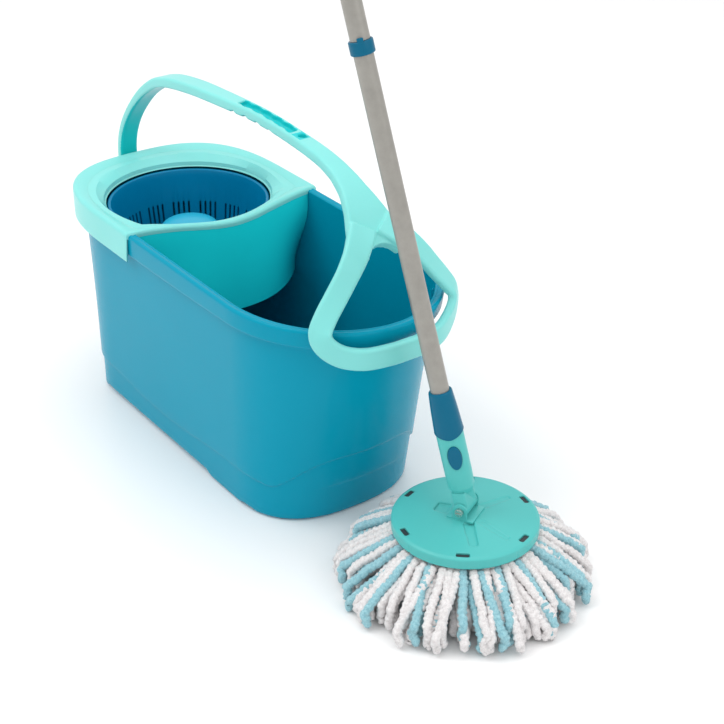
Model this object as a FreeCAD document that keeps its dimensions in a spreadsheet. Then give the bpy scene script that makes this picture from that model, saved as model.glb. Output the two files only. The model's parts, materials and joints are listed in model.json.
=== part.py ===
import FreeCAD, Part
import Sketcher
import math
import os
from FreeCAD import Vector, Placement, Rotation

# Spin mop set: an oval bucket with a spinning basket at one end, a swinging
# carry handle, and the mop standing beside it.  Millimetres, +Z up, X along
# the bucket's long side (basket end at -X), origin on the floor under the
# middle of the bucket.

doc = FreeCAD.newDocument("SpinMopSet")
sheet = doc.addObject("Spreadsheet::Sheet", "Dims")
ROWS = [
    ("rim_left", -272.3, "rim, basket end"),
    ("rim_right", 312.0, "rim, pouring end"),
    ("rim_half", 128.5, "rim, half width"),
    ("rim_al", 163.0, "rim, length of the basket-end curve"),
    ("rim_ar", 150.0, "rim, length of the pouring-end curve"),
    ("rim_top", 275.0, "rim height"),
    ("rim_inset", 8.0, "overhang of the rim outside the wall"),
    ("flange_low", 248.0, "lower edge of the turned-down rim"),
    ("base_left", -236.0, "foot, basket end"),
    ("base_right", 234.0, "foot, pouring end"),
    ("base_half", 112.0, "foot, half width"),
    ("wall", 2.6, "bucket wall"),
    ("floor_t", 3.0, "bucket floor"),
    ("spin_x", -133.0, "spinner axis, X"),
    ("collar_top", 278.0, "splash collar, top"),
    ("collar_low", 240.0, "splash collar, lower edge of the band"),
    ("collar_end", -48.0, "splash collar, where the band ends"),
    ("collar_t", 3.0, "splash collar, thickness"),
    ("open_r", 106.0, "basket opening, radius at the top"),
    ("throat_r", 101.8, "basket opening, radius at the throat"),
    ("throat_z", 262.0, "basket opening, height of the throat"),
    ("skirt_low", 158.0, "splash wall, lower edge"),
    ("basket_top", 260.5, "basket rim height"),
    ("basket_r", 100.8, "basket rim radius"),
    ("basket_wall_r", 97.5, "basket wall radius, top"),
    ("basket_low_r", 86.0, "basket wall radius, bottom"),
    ("basket_floor", 168.0, "basket underside"),
    ("basket_t", 2.4, "basket wall"),
    ("slot_w", 2.6, "drain slot width"),
    ("slot_low", 178.0, "drain slots, lower end"),
    ("slot_high", 219.0, "drain slots, upper end"),
    ("bush_out", 23.0, "bearing bush, outer radius"),
    ("neck_r", 21.0, "post neck, outer radius"),
    ("post_bore", 18.0, "post bore radius"),
    ("post_top", 165.0, "post top"),
    ("post_base_r", 45.0, "post foot radius"),
    ("spindle_half", 4.0, "twisted spindle, half of its square side"),
    ("spindle_top", 172.0, "twisted spindle, top"),
    ("spindle_lead", 100.0, "twisted spindle, lead"),
    ("hub_r", 36.5, "press hub radius"),
    ("hub_top", 233.0, "press hub top"),
    ("plunger_r", 15.0, "press hub stem radius"),
    ("plunger_in", 12.0, "press hub stem bore"),
    ("pin_x", -290.0, "handle pivot, X"),
    ("pin_z", 252.0, "handle pivot, Z"),
    ("pin_r", 4.0, "handle pin radius"),
    ("strap_w", 25.0, "handle strap width"),
    ("strap_t", 13.0, "handle strap thickness"),
    ("loop_w", 25.0, "handle loop strap width"),
    ("loop_t", 10.0, "handle loop strap thickness"),
    ("mop_x", 410.0, "mop axis, X"),
    ("mop_y", 13.0, "mop axis, Y"),
    ("mop_turn", 28.0, "mop turn about Z, degrees"),
    ("mop_lean", 14.3, "pole lean, degrees"),
    ("hinge_z", 97.0, "mop joint height"),
    ("plate_r", 79.5, "mop plate radius"),
    ("plate_low", 70.0, "mop plate, lower edge"),
    ("plate_top", 83.0, "mop plate, top at the edge"),
    ("plate_mid", 86.0, "mop plate, top in the middle"),
    ("yarn_r", 146.0, "yarn, radius on the floor"),
    ("tube_r", 10.0, "pole tube radius"),
    ("tube_in", 9.2, "pole tube inner radius"),
    ("socket_r", 14.6, "pole socket radius"),
    ("sleeve_low", 84.0, "sleeve, lower edge along the pole"),
    ("sleeve_top", 136.0, "sleeve, upper edge along the pole"),
    ("joint_a", 500.0, "first pole joint along the pole"),
    ("joint_b", 860.0, "second pole joint along the pole"),
    ("pole_end", 1235.0, "end of the upper tube"),
    ("hang_r", 5.0, "hanging hole radius"),
    ("btn_w", 7.3, "release button, half width"),
    ("btn_l", 13.5, "release button, half length"),
    ("btn_h", 63.0, "release button, height along the pole"),
]
cells = {}
for i, (alias, value, note) in enumerate(ROWS, start=1):
    sheet.set("A%d" % i, note)
    sheet.set("B%d" % i, str(value))
    sheet.setAlias("B%d" % i, alias)
    cells[alias] = float(value)
doc.recompute()
c = cells


def val(v):
    """A number, an alias, or (alias, offset), as a number."""
    if isinstance(v, str):
        return cells[v]
    if isinstance(v, tuple):
        return cells[v[0]] + v[1]
    return float(v)


def expr(v):
    """The same as an expression, or None for a plain number."""
    if isinstance(v, str):
        return "Dims.%s" % v
    if isinstance(v, tuple):
        return "Dims.%s %s %s" % (v[0], "+" if v[1] >= 0 else "-", abs(v[1]))
    return None


def bind(obj, prop, v):
    e = expr(v)
    setattr(obj, prop, val(v))
    if e:
        obj.setExpression(prop, e)


def origin_item(body, role):
    for f in body.Origin.OriginFeatures:
        if f.Role == role:
            return f
    raise RuntimeError("no " + role)


def profile_sketch(body, name, role, pts):
    """A closed polygon, each vertex dimensioned from the origin and bound to the sheet."""
    sk = body.newObject("Sketcher::SketchObject", name)
    sk.AttachmentSupport = [(origin_item(body, role), "")]
    sk.MapMode = "FlatFace"
    n = len(pts)
    num = [(val(x), val(y)) for x, y in pts]
    for i in range(n):
        a, b = num[i], num[(i + 1) % n]
        sk.addGeometry(Part.LineSegment(Vector(a[0], a[1], 0), Vector(b[0], b[1], 0)), False)
    for i in range(n):
        sk.addConstraint(Sketcher.Constraint("Coincident", i, 2, (i + 1) % n, 1))
    for i in range(n):
        for k, kind, axis in ((0, "DistanceX", -2), (1, "DistanceY", -1)):
            v = pts[i][k]
            if abs(val(v)) < 1e-9:
                sk.addConstraint(Sketcher.Constraint("PointOnObject", i, 1, axis))
            else:
                idx = sk.addConstraint(Sketcher.Constraint(kind, -1, 1, i, 1, val(v)))
                e = expr(v)
                if e:
                    sk.setExpression("Constraints[%d]" % idx, e)
    return sk


def revolved(name, pts):
    """A turned piece: the profile (radius, height) turned about Z."""
    body = doc.addObject("PartDesign::Body", name)
    sk = profile_sketch(body, name + "_profile", "XZ_Plane", pts)
    rev = body.newObject("PartDesign::Revolution", name + "_turned")
    rev.Profile = sk
    rev.ReferenceAxis = (sk, ["V_Axis"])
    rev.Angle = 360.0
    body.Tip = rev
    sk.Visibility = False
    return body


def padded(name, pts, role, length, midplane=True):
    """A plate piece: the outline padded to a thickness."""
    body = doc.addObject("PartDesign::Body", name)
    sk = profile_sketch(body, name + "_outline", role, pts)
    pad = body.newObject("PartDesign::Pad", name + "_pad")
    pad.Profile = sk
    bind(pad, "Length", length)
    pad.Midplane = midplane
    body.Tip = pad
    sk.Visibility = False
    return body


def cylinder(name, r, h, place=None):
    o = doc.addObject("Part::Cylinder", name)
    bind(o, "Radius", r)
    bind(o, "Height", h)
    if place is not None:
        o.Placement = place
    return o


def box(name, x0, x1, y0, y1, z0, z1):
    o = doc.addObject("Part::Box", name)
    o.Length, o.Width, o.Height = x1 - x0, y1 - y0, z1 - z0
    o.Placement = Placement(Vector(x0, y0, z0), Rotation())
    return o


def cut(name, base, tool):
    o = doc.addObject("Part::Cut", name)
    o.Base, o.Tool = base, tool
    return o


def fuse(name, shapes):
    o = doc.addObject("Part::MultiFuse", name)
    o.Shapes = shapes
    o.Refine = True
    return o


def common(name, a, b):
    o = doc.addObject("Part::MultiCommon", name)
    o.Shapes = [a, b]
    return o


def free(name, shape, place=None):
    o = doc.addObject("Part::Feature", name)
    o.Shape = shape
    if place is not None:
        o.Placement = place.multiply(shape.Placement)
    return o


def along_y(x, y, z):
    return Placement(Vector(x, y, z), Rotation(Vector(1, 0, 0), -90))


def along_x(x, y, z):
    return Placement(Vector(x, y, z), Rotation(Vector(0, 1, 0), 90))


nodes = []


def node(obj, label, place=None):
    obj.Label = label
    if place is not None:
        obj.Placement = place
    nodes.append(obj)
    return obj


SPIN = Placement(Vector(c["spin_x"], 0, 0), Rotation())
MOP = Placement(Vector(c["mop_x"], c["mop_y"], 0), Rotation(Vector(0, 0, 1), c["mop_turn"]))
POLE = MOP.multiply(Placement(Vector(0, 0, c["hinge_z"]), Rotation(Vector(0, 1, 0), -c["mop_lean"])))


# ---- the oval outlines ------------------------------------------------------
def end_curve(cx, a, w, n, z, sign, steps=13):
    pts = []
    for i in range(steps):
        t = math.pi * (i / (steps - 1.0) - 0.5)
        ct, st = max(math.cos(t), 0.0), math.sin(t)
        x = cx + sign * a * ct ** (2.0 / n)
        y = sign * w * math.copysign(abs(st) ** (2.0 / n), st)
        pts.append(Vector(x, y, z))
    curve = Part.BSplineCurve()
    curve.interpolate(Points=pts, InitialTangent=Vector(sign, 0, 0), FinalTangent=Vector(-sign, 0, 0))
    return curve.toShape()


def outline(xl, xr, w, al, nl, ar, nr, z):
    lx, rx = xl + al, xr - ar
    near = Part.LineSegment(Vector(lx, -w, z), Vector(rx, -w, z)).toShape()
    nose = end_curve(rx, ar, w, nr, z, 1)
    far = Part.LineSegment(Vector(rx, w, z), Vector(lx, w, z)).toShape()
    tail = end_curve(lx, al, w, nl, z, -1)
    return Part.Wire([near, nose, far, tail])


def rim_line(off, z):
    return outline(c["rim_left"] + off, c["rim_right"] - off, c["rim_half"] - off,
                   c["rim_al"] - off, 2.84, c["rim_ar"] - off, 2.0, z)


def base_line(off, z):
    return outline(c["base_left"] + off, c["base_right"] - off, c["base_half"] - off,
                   80.0 - off, 3.0, 100.0 - off, 2.5, z)


def slab(wire, z0, z1):
    w = wire.copy()
    return Part.Face(w).extrude(Vector(0, 0, z1 - z0))


# ---- bucket -----------------------------------------------------------------
IN = c["rim_inset"]
T = c["wall"]
outer = Part.makeLoft([base_line(0, 0), rim_line(IN, c["rim_top"] - 2.5)], True, True)
cavity = Part.makeLoft([base_line(T, c["floor_t"]), rim_line(IN + T, c["rim_top"] + 1.0)], True, True)
band = slab(rim_line(0, c["flange_low"]), c["flange_low"], c["rim_top"])
gap = slab(rim_line(2.2, c["flange_low"] - 1), c["flange_low"] - 1, c["rim_top"] - 2.5)
tub = outer.fuse(band.cut(gap))
tub = tub.cut(cavity)
seat = Part.makeCylinder(50, 3.2, Vector(c["spin_x"], 0, 2.8))
tub = tub.fuse(seat)
SCREWS = [(36 * math.cos(math.radians(a)), 36 * math.sin(math.radians(a))) for a in (60, 180, 300)]
for sx, sy in SCREWS:
    tub = tub.cut(Part.makeCylinder(2.1, 6, Vector(c["spin_x"] + sx, sy, 1.5)))
SCREW_Y = 12.0
SCREW_Z = 218.0
for sy in (-SCREW_Y, SCREW_Y):
    tub = tub.cut(Part.makeCylinder(2.2, 60, Vector(-300, sy, SCREW_Z), Vector(1, 0, 0)))
tub = tub.removeSplitter()
node(free("BucketTub", tub), "bucket_tub")

# ---- splash collar: band round the rim, top, funnel and the curved splash wall
CT = c["collar_t"]
edge_pts = [(c["collar_end"] + 4, 140), (-45, 110), (-38, 84), (-26, 56), (-15, 27), (-11, 0)]
edge = [Vector(x, y, 0) for x, y in edge_pts] + [Vector(x, -y, 0) for x, y in edge_pts[-2::-1]]
crest = Part.BSplineCurve()
crest.interpolate(edge)


def crest_region(z0, z1, off=0.0):
    pts = [p + Vector(off, 0, 0) for p in edge]
    b = Part.BSplineCurve()
    b.interpolate(pts)
    left = [Part.LineSegment(pts[-1], Vector(-400, -140, 0)).toShape(),
            Part.LineSegment(Vector(-400, -140, 0), Vector(-400, 140, 0)).toShape(),
            Part.LineSegment(Vector(-400, 140, 0), pts[0]).toShape()]
    f = Part.Face(Part.Wire([b.toShape()] + left))
    s = f.extrude(Vector(0, 0, z1 - z0))
    s.translate(Vector(0, 0, z0))
    return s


band_solid = slab(rim_line(-CT, c["collar_low"]), c["collar_low"], c["collar_top"])
band_solid = band_solid.cut(slab(rim_line(-0.05, c["collar_low"] - 1), c["collar_low"] - 1, c["rim_top"] + 0.05))
band_solid = band_solid.common(Part.makeBox(400, 300, 60, Vector(-448, -150, 230)))
lid = slab(rim_line(-CT, c["rim_top"] + 0.05), c["rim_top"] + 0.05, c["collar_top"])
lid = lid.common(crest_region(270, 290))
skirt = crest_region(c["skirt_low"], c["collar_top"] - 1).cut(crest_region(c["skirt_low"] - 1, c["collar_top"], -2.6))
skirt = skirt.common(Part.makeLoft([base_line(T + 0.5, 0), rim_line(IN + T + 0.5, c["rim_top"] + 6.0)], True, True))
cone = Part.makeCone(c["throat_r"] + 2.6, c["open_r"] + 2.8, c["collar_top"] - c["throat_z"], Vector(c["spin_x"], 0, c["throat_z"]))
hole = Part.makeCone(c["throat_r"], c["open_r"], c["collar_top"] - c["throat_z"], Vector(c["spin_x"], 0, c["throat_z"]))
collar = band_solid.fuse([lid, skirt, cone]).cut(hole)
collar = collar.removeSplitter()
node(free("SplashCollar", collar), "splash_collar")

# ---- spinner drive ----------------------------------------------------------
PB = c["post_base_r"]
post = revolved("CenterPost", [
    (5.05, 6.0), ("post_base_r", 6.0), ("post_base_r", 10.0), (30.0, 12.1), (26.0, 118.0), ("neck_r", 118.0),
    ("neck_r", "post_top"), ("post_bore", "post_top"), ("post_bore", 19.0), (5.05, 18.0)])
post_holes = doc.addObject("Part::Compound", "PostHoles")
post_holes.Links = [cylinder("PostHole%d" % i, 2.2, 20.0, Placement(Vector(x, y, 0), Rotation()))
                    for i, (x, y) in enumerate(SCREWS)]
node(cut("CenterPostDrilled", post, post_holes), "center_post", SPIN)

screw_parts = []
for i, (x, y) in enumerate(SCREWS):
    shank = cylinder("PostScrewShank%d" % i, 2.05, 10.6, Placement(Vector(x, y, 1.6), Rotation()))
    head = cylinder("PostScrewHead%d" % i, 4.0, 2.6, Placement(Vector(x, y, 12.2), Rotation()))
    screw_parts.append(fuse("PostScrew%d" % i, [shank, head]))
screws = doc.addObject("Part::Compound", "PostScrews")
screws.Links = screw_parts
node(screws, "post_screws", SPIN)

node(revolved("BearingBush", [("neck_r", 118.0), (26.0, 118.0), (26.0, 120.5), ("bush_out", 120.5),
                              ("bush_out", 161.0), ("neck_r", 161.0)]), "bearing_bush", SPIN)

# twisted square spindle, fixed in the post's foot
a = c["spindle_half"]
rings = []
z0, z1, steps = 20.0, c["spindle_top"], 24
for i in range(steps + 1):
    z = z0 + (z1 - z0) * i / steps
    ang = 2 * math.pi * (z - z0) / c["spindle_lead"]
    pts = []
    for k in range(4):
        q = ang + math.pi / 4 + k * math.pi / 2
        pts.append(Vector(a * math.sqrt(2) * math.cos(q), a * math.sqrt(2) * math.sin(q), z))
    rings.append(Part.makePolygon(pts + pts[:1]))
twist = Part.makeLoft(rings, True, True)
spindle = twist.fuse(Part.makeCylinder(5.0, 14.0, Vector(0, 0, 6.0)))
node(free("TwistSpindle", spindle, SPIN), "twist_spindle")

# basket: rim, wall, floor and the sleeve that turns on the bush
basket = revolved("BasketTurned", [
    (15.06, "basket_floor"), (23.06, "basket_floor"), (23.06, 120.9), (26.0, 120.9), (26.0, "basket_floor"),
    ("basket_low_r", "basket_floor"), ("basket_wall_r", 252.0), ("basket_r", 256.0), ("basket_r", "basket_top"),
    (96.5, "basket_top"), (94.9, 252.0), (83.4, 171.0), (15.06, 171.0)])
slot_list = []
for g in range(16):
    for k in range(4):
        ang = g * 22.5 + (k - 1.5) * 4.3
        b = doc.addObject("Part::Box", "Slot_%d_%d" % (g, k))
        b.Length = 30.0
        bind(b, "Width", "slot_w")
        b.setExpression("Height", "Dims.slot_high - Dims.slot_low")
        b.Height = c["slot_high"] - c["slot_low"]
        b.Placement = Placement(Vector(0, 0, 0), Rotation(Vector(0, 0, 1), ang)).multiply(
            Placement(Vector(76, -c["slot_w"] / 2, c["slot_low"]), Rotation()))
        slot_list.append(b)
for i in range(12):
    ang = math.radians(i * 30)
    slot_list.append(cylinder("DrainHole%d" % i, 4.0, 10.0, Placement(Vector(60 * math.cos(ang), 60 * math.sin(ang), 165), Rotation())))
slots = doc.addObject("Part::Compound", "BasketSlots")
slots.Links = slot_list
node(cut("SpinBasket", basket, slots), "spin_basket", SPIN)

# press hub: dome, skirt and the stem that slides through the basket floor
hub = revolved("PressHub", [
    (0, "hub_top"), (12.0, ("hub_top", -0.5)), (22.0, ("hub_top", -1.8)), (30.0, ("hub_top", -4.0)),
    (34.5, ("hub_top", -6.5)), ("hub_r", ("hub_top", -10.0)), ("hub_r", 221.0), (33.8, 221.0),
    (33.8, ("hub_top", -9.6)), (30.0, ("hub_top", -6.8)), (22.0, ("hub_top", -4.4)), ("plunger_r", 229.5), ("plunger_r", 147.0), ("plunger_in", 147.0), ("plunger_in", 165.5),
    (8.0, 165.5), (8.0, 229.5), (0, 229.5)])
node(hub, "press_hub", SPIN)
node(revolved("StemRing", [(8.5, 147.2), ("plunger_in", 147.2), ("plunger_in", 150.2), (8.5, 150.2)]),
     "stem_ring", SPIN)
node(revolved("DriveNut", [(6.1, 150.7), (11.94, 150.7), (11.94, 165.0), (6.1, 165.0)]), "drive_nut", SPIN)


def coil(r, wire, pitch, turns, z):
    """A spring: hexagonal wire sections along a helix, joined by ruled faces."""
    count = int(14 * turns)
    wires = []
    for i in range(count + 1):
        ang = 2 * math.pi * turns * i / count
        out = Vector(math.cos(ang), math.sin(ang), 0)
        tan = Vector(-r * math.sin(ang), r * math.cos(ang), pitch / (2 * math.pi))
        tan.normalize()
        up = tan.cross(out)
        mid = out * r + Vector(0, 0, z + pitch * turns * i / count)
        pts = [mid + out * (wire * math.cos(k * math.pi / 3)) + up * (wire * math.sin(k * math.pi / 3)) for k in range(6)]
        wires.append(Part.makePolygon(pts + pts[:1]))
    return Part.makeLoft(wires, True, True)


node(free("ReturnSpring", coil(20.0, 1.0, 7.7, 7.0, 172.4), SPIN), "return_spring")

# ---- handle bracket and pin -------------------------------------------------
px, pz, pr = c["pin_x"], c["pin_z"], c["pin_r"]
block = Part.makeBox(52, 44, 30, Vector(-300, -22, 206))
gap = Part.makeBox(40, 26.2, 60, Vector(-310, -13.1, 236))
ears = Part.makeBox(22.5, 44, 37, Vector(-300, -22, 216)).cut(gap)
ears = ears.fuse(Part.makeCylinder(11.25, 44, Vector(-288.75, -22, 253), Vector(0, 1, 0)).cut(gap).common(
    Part.makeBox(60, 60, 60, Vector(-330, -30, 253))))
bracket = block.fuse(ears)
bracket = bracket.cut(Part.makeLoft([base_line(-0.02, 0), rim_line(IN - 0.02, c["rim_top"] - 2.5)], True, True))
bracket = bracket.cut(Part.makeCylinder(pr, 60, Vector(px, -30, pz), Vector(0, 1, 0)))
for sy in (-SCREW_Y, SCREW_Y):
    bracket = bracket.cut(Part.makeCylinder(2.2, 60, Vector(-303, sy, SCREW_Z), Vector(1, 0, 0)))
node(free("HandleBracket", bracket.removeSplitter()), "handle_bracket")
pin_a = cylinder("PinShank", "pin_r", 47.0, along_y(px, -22.0, pz))
pin_b = cylinder("PinHead", 7.0, 3.0, along_y(px, -25.0, pz))
node(fuse("HandlePin", [pin_a, pin_b]), "handle_pin")
bs = []
for i, sy in enumerate((-SCREW_Y, SCREW_Y)):
    sh = cylinder("BracketShank%d" % i, 2.15, 50.0, along_x(-300.0, sy, SCREW_Z))
    hd = cylinder("BracketHead%d" % i, 4.5, 2.8, along_x(-302.8, sy, SCREW_Z))
    bs.append(fuse("BracketScrew%d" % i, [sh, hd]))
bsc = doc.addObject("Part::Compound", "BracketScrews")
bsc.Links = bs
node(bsc, "bracket_screws")


# ---- carry handle: a strap of rectangular section along a bent line ----------
def strap(points, normals, widths, thicks):
    """A solid through rectangles: width across, thickness along the normal."""
    wires = []
    n = len(points)
    for i in range(n):
        p = points[i]
        t = points[min(i + 1, n - 1)] - points[max(i - 1, 0)]
        t.normalize()
        m = normals[i] - t * normals[i].dot(t)
        m.normalize()
        w = t.cross(m)
        hw, ht = widths[i] / 2.0, thicks[i] / 2.0
        q = [p + w * hw + m * ht, p - w * hw + m * ht, p - w * hw - m * ht, p + w * hw - m * ht]
        wires.append(Part.makePolygon(q + q[:1]))
    return Part.makeLoft(wires, True, True)


SW, ST = c["strap_w"], c["strap_t"]
side = [(-290, 252), (-289.5, 282), (-280, 310), (-259, 340), (-225, 373), (-190, 396), (-165, 405.5), (-137, 411.5),
        (-92, 417), (-48, 420), (0, 422.5), (39, 424), (81.5, 423), (117, 420.5), (150, 417.5), (176, 413.5),
        (200, 406.5), (222, 395), (240, 380.5), (252, 367), (262, 355), (275.5, 339)]
nrm = []
for i in range(len(side)):
    x0_, z0_ = side[max(i - 1, 0)]
    x1_, z1_ = side[min(i + 1, len(side) - 1)]
    nrm.append(Vector(-(z1_ - z0_), 0, x1_ - x0_))
width = [SW] * 5 + [26.0, 27.0, 27.0, 26.0, 24.0, 22.0, 20.5, 20.0, 20.0, 21.0, 22.0, 25.0, 33.0, 47.0, 60.0, 70.0, 80.0]
thick = [11.0] * 4 + [12.0] + [ST] * 14 + [12.0] * 3
main = strap([Vector(x, 0, z) for x, z in side], nrm, width, thick)
# notch between the two legs
CO, CN, CS = Vector(270, 0, 352), Vector(0.68, 0, 0.73), Vector(0.73, 0, -0.68)
notch = [(0, 0), (7, 1.2), (13, 4.5), (18, 10), (22, 18), (28, 30), (36, 48)]
loop2 = notch + [(-y, v) for y, v in notch[:0:-1]]
face = Part.Face(Part.makePolygon([CO - CN * 25 + Vector(0, 1, 0) * y + CS * v for y, v in loop2 + loop2[:1]]))
loop = [Vector(256, 12, 368), Vector(267, 24, 357.5), Vector(275, 35, 347), Vector(280, 49, 331.5), Vector(281.5, 64, 312),
        Vector(283, 78, 294), Vector(286, 87, 279), Vector(291, 83.5, 265), Vector(300, 69, 253), Vector(311.5, 48, 248.5),
        Vector(319, 22, 249), Vector(321.5, -4, 250)]
loop_n = [Vector(.68, 0, .73), Vector(.68, .05, .73), Vector(.72, .1, .68), Vector(.8, .2, .55), Vector(.8, .35, .45),
          Vector(.74, .55, .3), Vector(.68, .72, .05), Vector(.72, .69, 0), Vector(.82, .57, 0),
          Vector(.93, .36, 0), Vector(.99, .12, 0), Vector(1, 0, 0)]
half = strap(loop, loop_n, [30.0, 29.0, 27.0] + [c["loop_w"]] * 9, [12.0, 12.0, 11.5] + [c["loop_t"]] * 9)
half = half.common(Part.makeBox(300, 200, 300, Vector(100, 0, 150)))
other = half.mirror(Vector(0, 0, 0), Vector(0, 1, 0))
ring = half.fuse(other).removeSplitter()
eye = Part.makeCylinder(10.0, SW, Vector(px, -SW / 2, pz), Vector(0, 1, 0))
handle = main.cut(face.extrude(CN * 50)).fuse(ring).fuse(eye)
handle = handle.cut(Part.makeCylinder(pr + 0.06, 60, Vector(px, -30, pz), Vector(0, 1, 0)))
grip_pts = [(3, 429.8), (40, 431.0), (82, 430.0), (114, 427.4)]
grip_n = [Vector(0.0, 0, 1), Vector(-0.0, 0, 1), Vector(0.05, 0, 1), Vector(0.08, 0, 1)]
handle = handle.cut(strap([Vector(x, 0, z) for x, z in grip_pts], grip_n, [12.5] * 4, [14.0] * 4))
for x in (0, 25, 50, 75):
    z = 415.7 if x in (0, 75) else 417.0
    handle = handle.cut(Part.makeCylinder(7.0, 60, Vector(x, -30, z - 3.5), Vector(0, 1, 0)))
node(free("CarryHandle", handle.removeSplitter()), "carry_handle")

# ---- mop head ----------------------------------------------------------------
plate = revolved("PlateTurned", [
    (0, "plate_mid"), (24.0, "plate_mid"), (60.0, ("plate_top", 0.9)), (77.5, "plate_top"), ("plate_r", ("plate_top", -2.0)),
    ("plate_r", "plate_low"), (76.0, "plate_low"), (76.0, 77.0), (24.0, 80.0), (0, 80.0)])
win = doc.addObject("Part::Compound", "PlateWindows")
wl = []
for i in range(6):
    b = doc.addObject("Part::Box", "Window%d" % i)
    b.Length, b.Width, b.Height = 6.0, 14.0, 12.0
    b.Placement = Placement(Vector(), Rotation(Vector(0, 0, 1), 60 * i - 9)).multiply(Placement(Vector(69, -7, 75), Rotation()))
    wl.append(b)
win.Links = wl
node(cut("MopPlate", plate, win), "mop_plate", MOP)
carrier = revolved("CarrierRing", [(52.0, 70.0), (75.9, 70.0), (75.9, 76.9), (52.0, 77.4)])
tabs = []
for i in range(6):
    b = doc.addObject("Part::Box", "Tab%d" % i)
    b.Length, b.Width, b.Height = 5.0, 13.0, 6.0
    b.Placement = Placement(Vector(), Rotation(Vector(0, 0, 1), 60 * i - 9)).multiply(Placement(Vector(69.5, -6.5, 75.5), Rotation()))
    tabs.append(b)
node(fuse("YarnCarrier", [carrier] + tabs), "yarn_carrier", MOP)
node(revolved("YarnPad", [
    (0, 0), (135.0, 0), (143.0, 3.0), ("yarn_r", 10.0), (("yarn_r", -3.0), 21.0), (132.0, 36.0), (114.0, 50.5), (94.0, 62.0),
    (78.0, 69.9), (0, 69.9)]), "yarn_pad", MOP)
br = box("BracketBase", -15, 15, -16.5, 16.5, c["plate_mid"], c["plate_mid"] + 2.0)
ea = padded("EarA", [(-8.0, ("plate_mid", 1.0)), (8.0, ("plate_mid", 1.0)), (8.0, 102.0), (4.5, 105.5), (-4.5, 105.5), (-8.0, 102.0)],
            "XZ_Plane", 2.0)
ea.Placement = Placement(Vector(0, 15.5, 0), Rotation())
eb = padded("EarB", [(-8.0, ("plate_mid", 1.0)), (8.0, ("plate_mid", 1.0)), (8.0, 102.0), (4.5, 105.5), (-4.5, 105.5), (-8.0, 102.0)],
            "XZ_Plane", 2.0)
eb.Placement = Placement(Vector(0, -15.5, 0), Rotation())
jb = fuse("JointBracketBlank", [br, ea, eb])
node(cut("JointBracket", jb, cylinder("BoltHole", 2.5, 60.0, along_y(0, -30, c["hinge_z"]))), "joint_bracket", MOP)
b0 = cylinder("BoltShank", 2.5, 37.0, along_y(0, -18.5, c["hinge_z"]))
b1 = cylinder("BoltHeadA", 4.6, 3.2, along_y(0, 16.6, c["hinge_z"]))
b2 = cylinder("BoltHeadB", 4.6, 3.2, along_y(0, -19.8, c["hinge_z"]))
node(fuse("HingeBolt", [b0, b1, b2]), "hinge_bolt", MOP)

# ---- pole: socket with an eye, sleeve, three tubes, joints, grip ---------------
sock = revolved("SocketTurned", [(0, 17.0), (10.5, 17.0), (14.2, 24.0), ("socket_r", 40.0), ("socket_r", 92.0), (10.02, 92.0), (10.02, 38.0), (0, 38.0)])
neck = box("SocketNeck", -7.8, 7.8, -12.0, 12.0, 0.0, 20.0)
eye2 = cylinder("SocketEye", 7.8, 27.6, along_y(0, -13.8, 0))
blank = fuse("SocketBlank", [sock, neck, eye2])
bolt_hole = cylinder("SocketBolt", 2.56, 60.0, along_y(0, -30, 0))


def oval(name, hw, hl, d0, d1):
    e = Part.Ellipse(Vector(0, 0, 0), hl, hw)
    s = Part.Face(Part.Wire([e.toShape()])).extrude(Vector(0, 0, d1 - d0))
    s.Placement = Placement(Vector(d0, 0, c["btn_h"]), Rotation(Vector(0, 1, 0), 90))
    t = s.copy()
    t.rotate(Vector(0, 0, 0), Vector(0, 0, 1), -62)
    return t


pocket = free("ButtonPocket", oval("p", c["btn_w"] + 0.35, c["btn_l"] + 0.35, 10.5, 20.0))
tools = fuse("SocketTools", [bolt_hole, pocket])
node(cut("JointSocket", blank, tools), "joint_socket", POLE)
btn_shape = oval("b", c["btn_w"], c["btn_l"], 12.9, 18.0).common(Part.makeCylinder(16.0, 60, Vector(0, 0, 30)))
node(free("ReleaseButton", btn_shape, POLE), "release_button")
bsp = coil(2.6, 0.25, 0.8, 2.3, 0)
bsp.Placement = Placement(Vector(10.8, 0, c["btn_h"]), Rotation(Vector(0, 1, 0), 90))
bsp2 = bsp.copy()
bsp2.rotate(Vector(0, 0, 0), Vector(0, 0, 1), -62)
node(free("ButtonSpring", bsp2, POLE), "button_spring")
node(revolved("TubeSleeve", [
    (14.65, "sleeve_low"), (15.5, "sleeve_low"), (15.3, 96.0), (14.0, 118.0), (12.6, ("sleeve_top", -1.0)), (12.0, "sleeve_top"),
    (10.02, "sleeve_top"), (10.02, 92.1), (14.65, 92.1)]), "tube_sleeve", POLE)
A, B, E = "joint_a", "joint_b", "pole_end"


def tube(name, za, zb, label):
    o = revolved(name, [("tube_in", za), ("tube_r", za), ("tube_r", zb), ("tube_in", zb)])
    node(o, label, POLE)


def link(name, at, label):
    """A pole joint: outer ring with a plug that goes into both tubes."""
    o = revolved(name, [(0, (at, -35.0)), (9.15, (at, -35.0)), (9.15, (at, -6.0)), (11.6, (at, -7.0)), (12.3, (at, -6.0)), (12.3, (at, 6.0)),
                        (11.6, (at, 7.0)), (9.15, (at, 6.0)), (9.15, (at, 35.0)), (0, (at, 35.0))])
    node(o, label, POLE)


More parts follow.
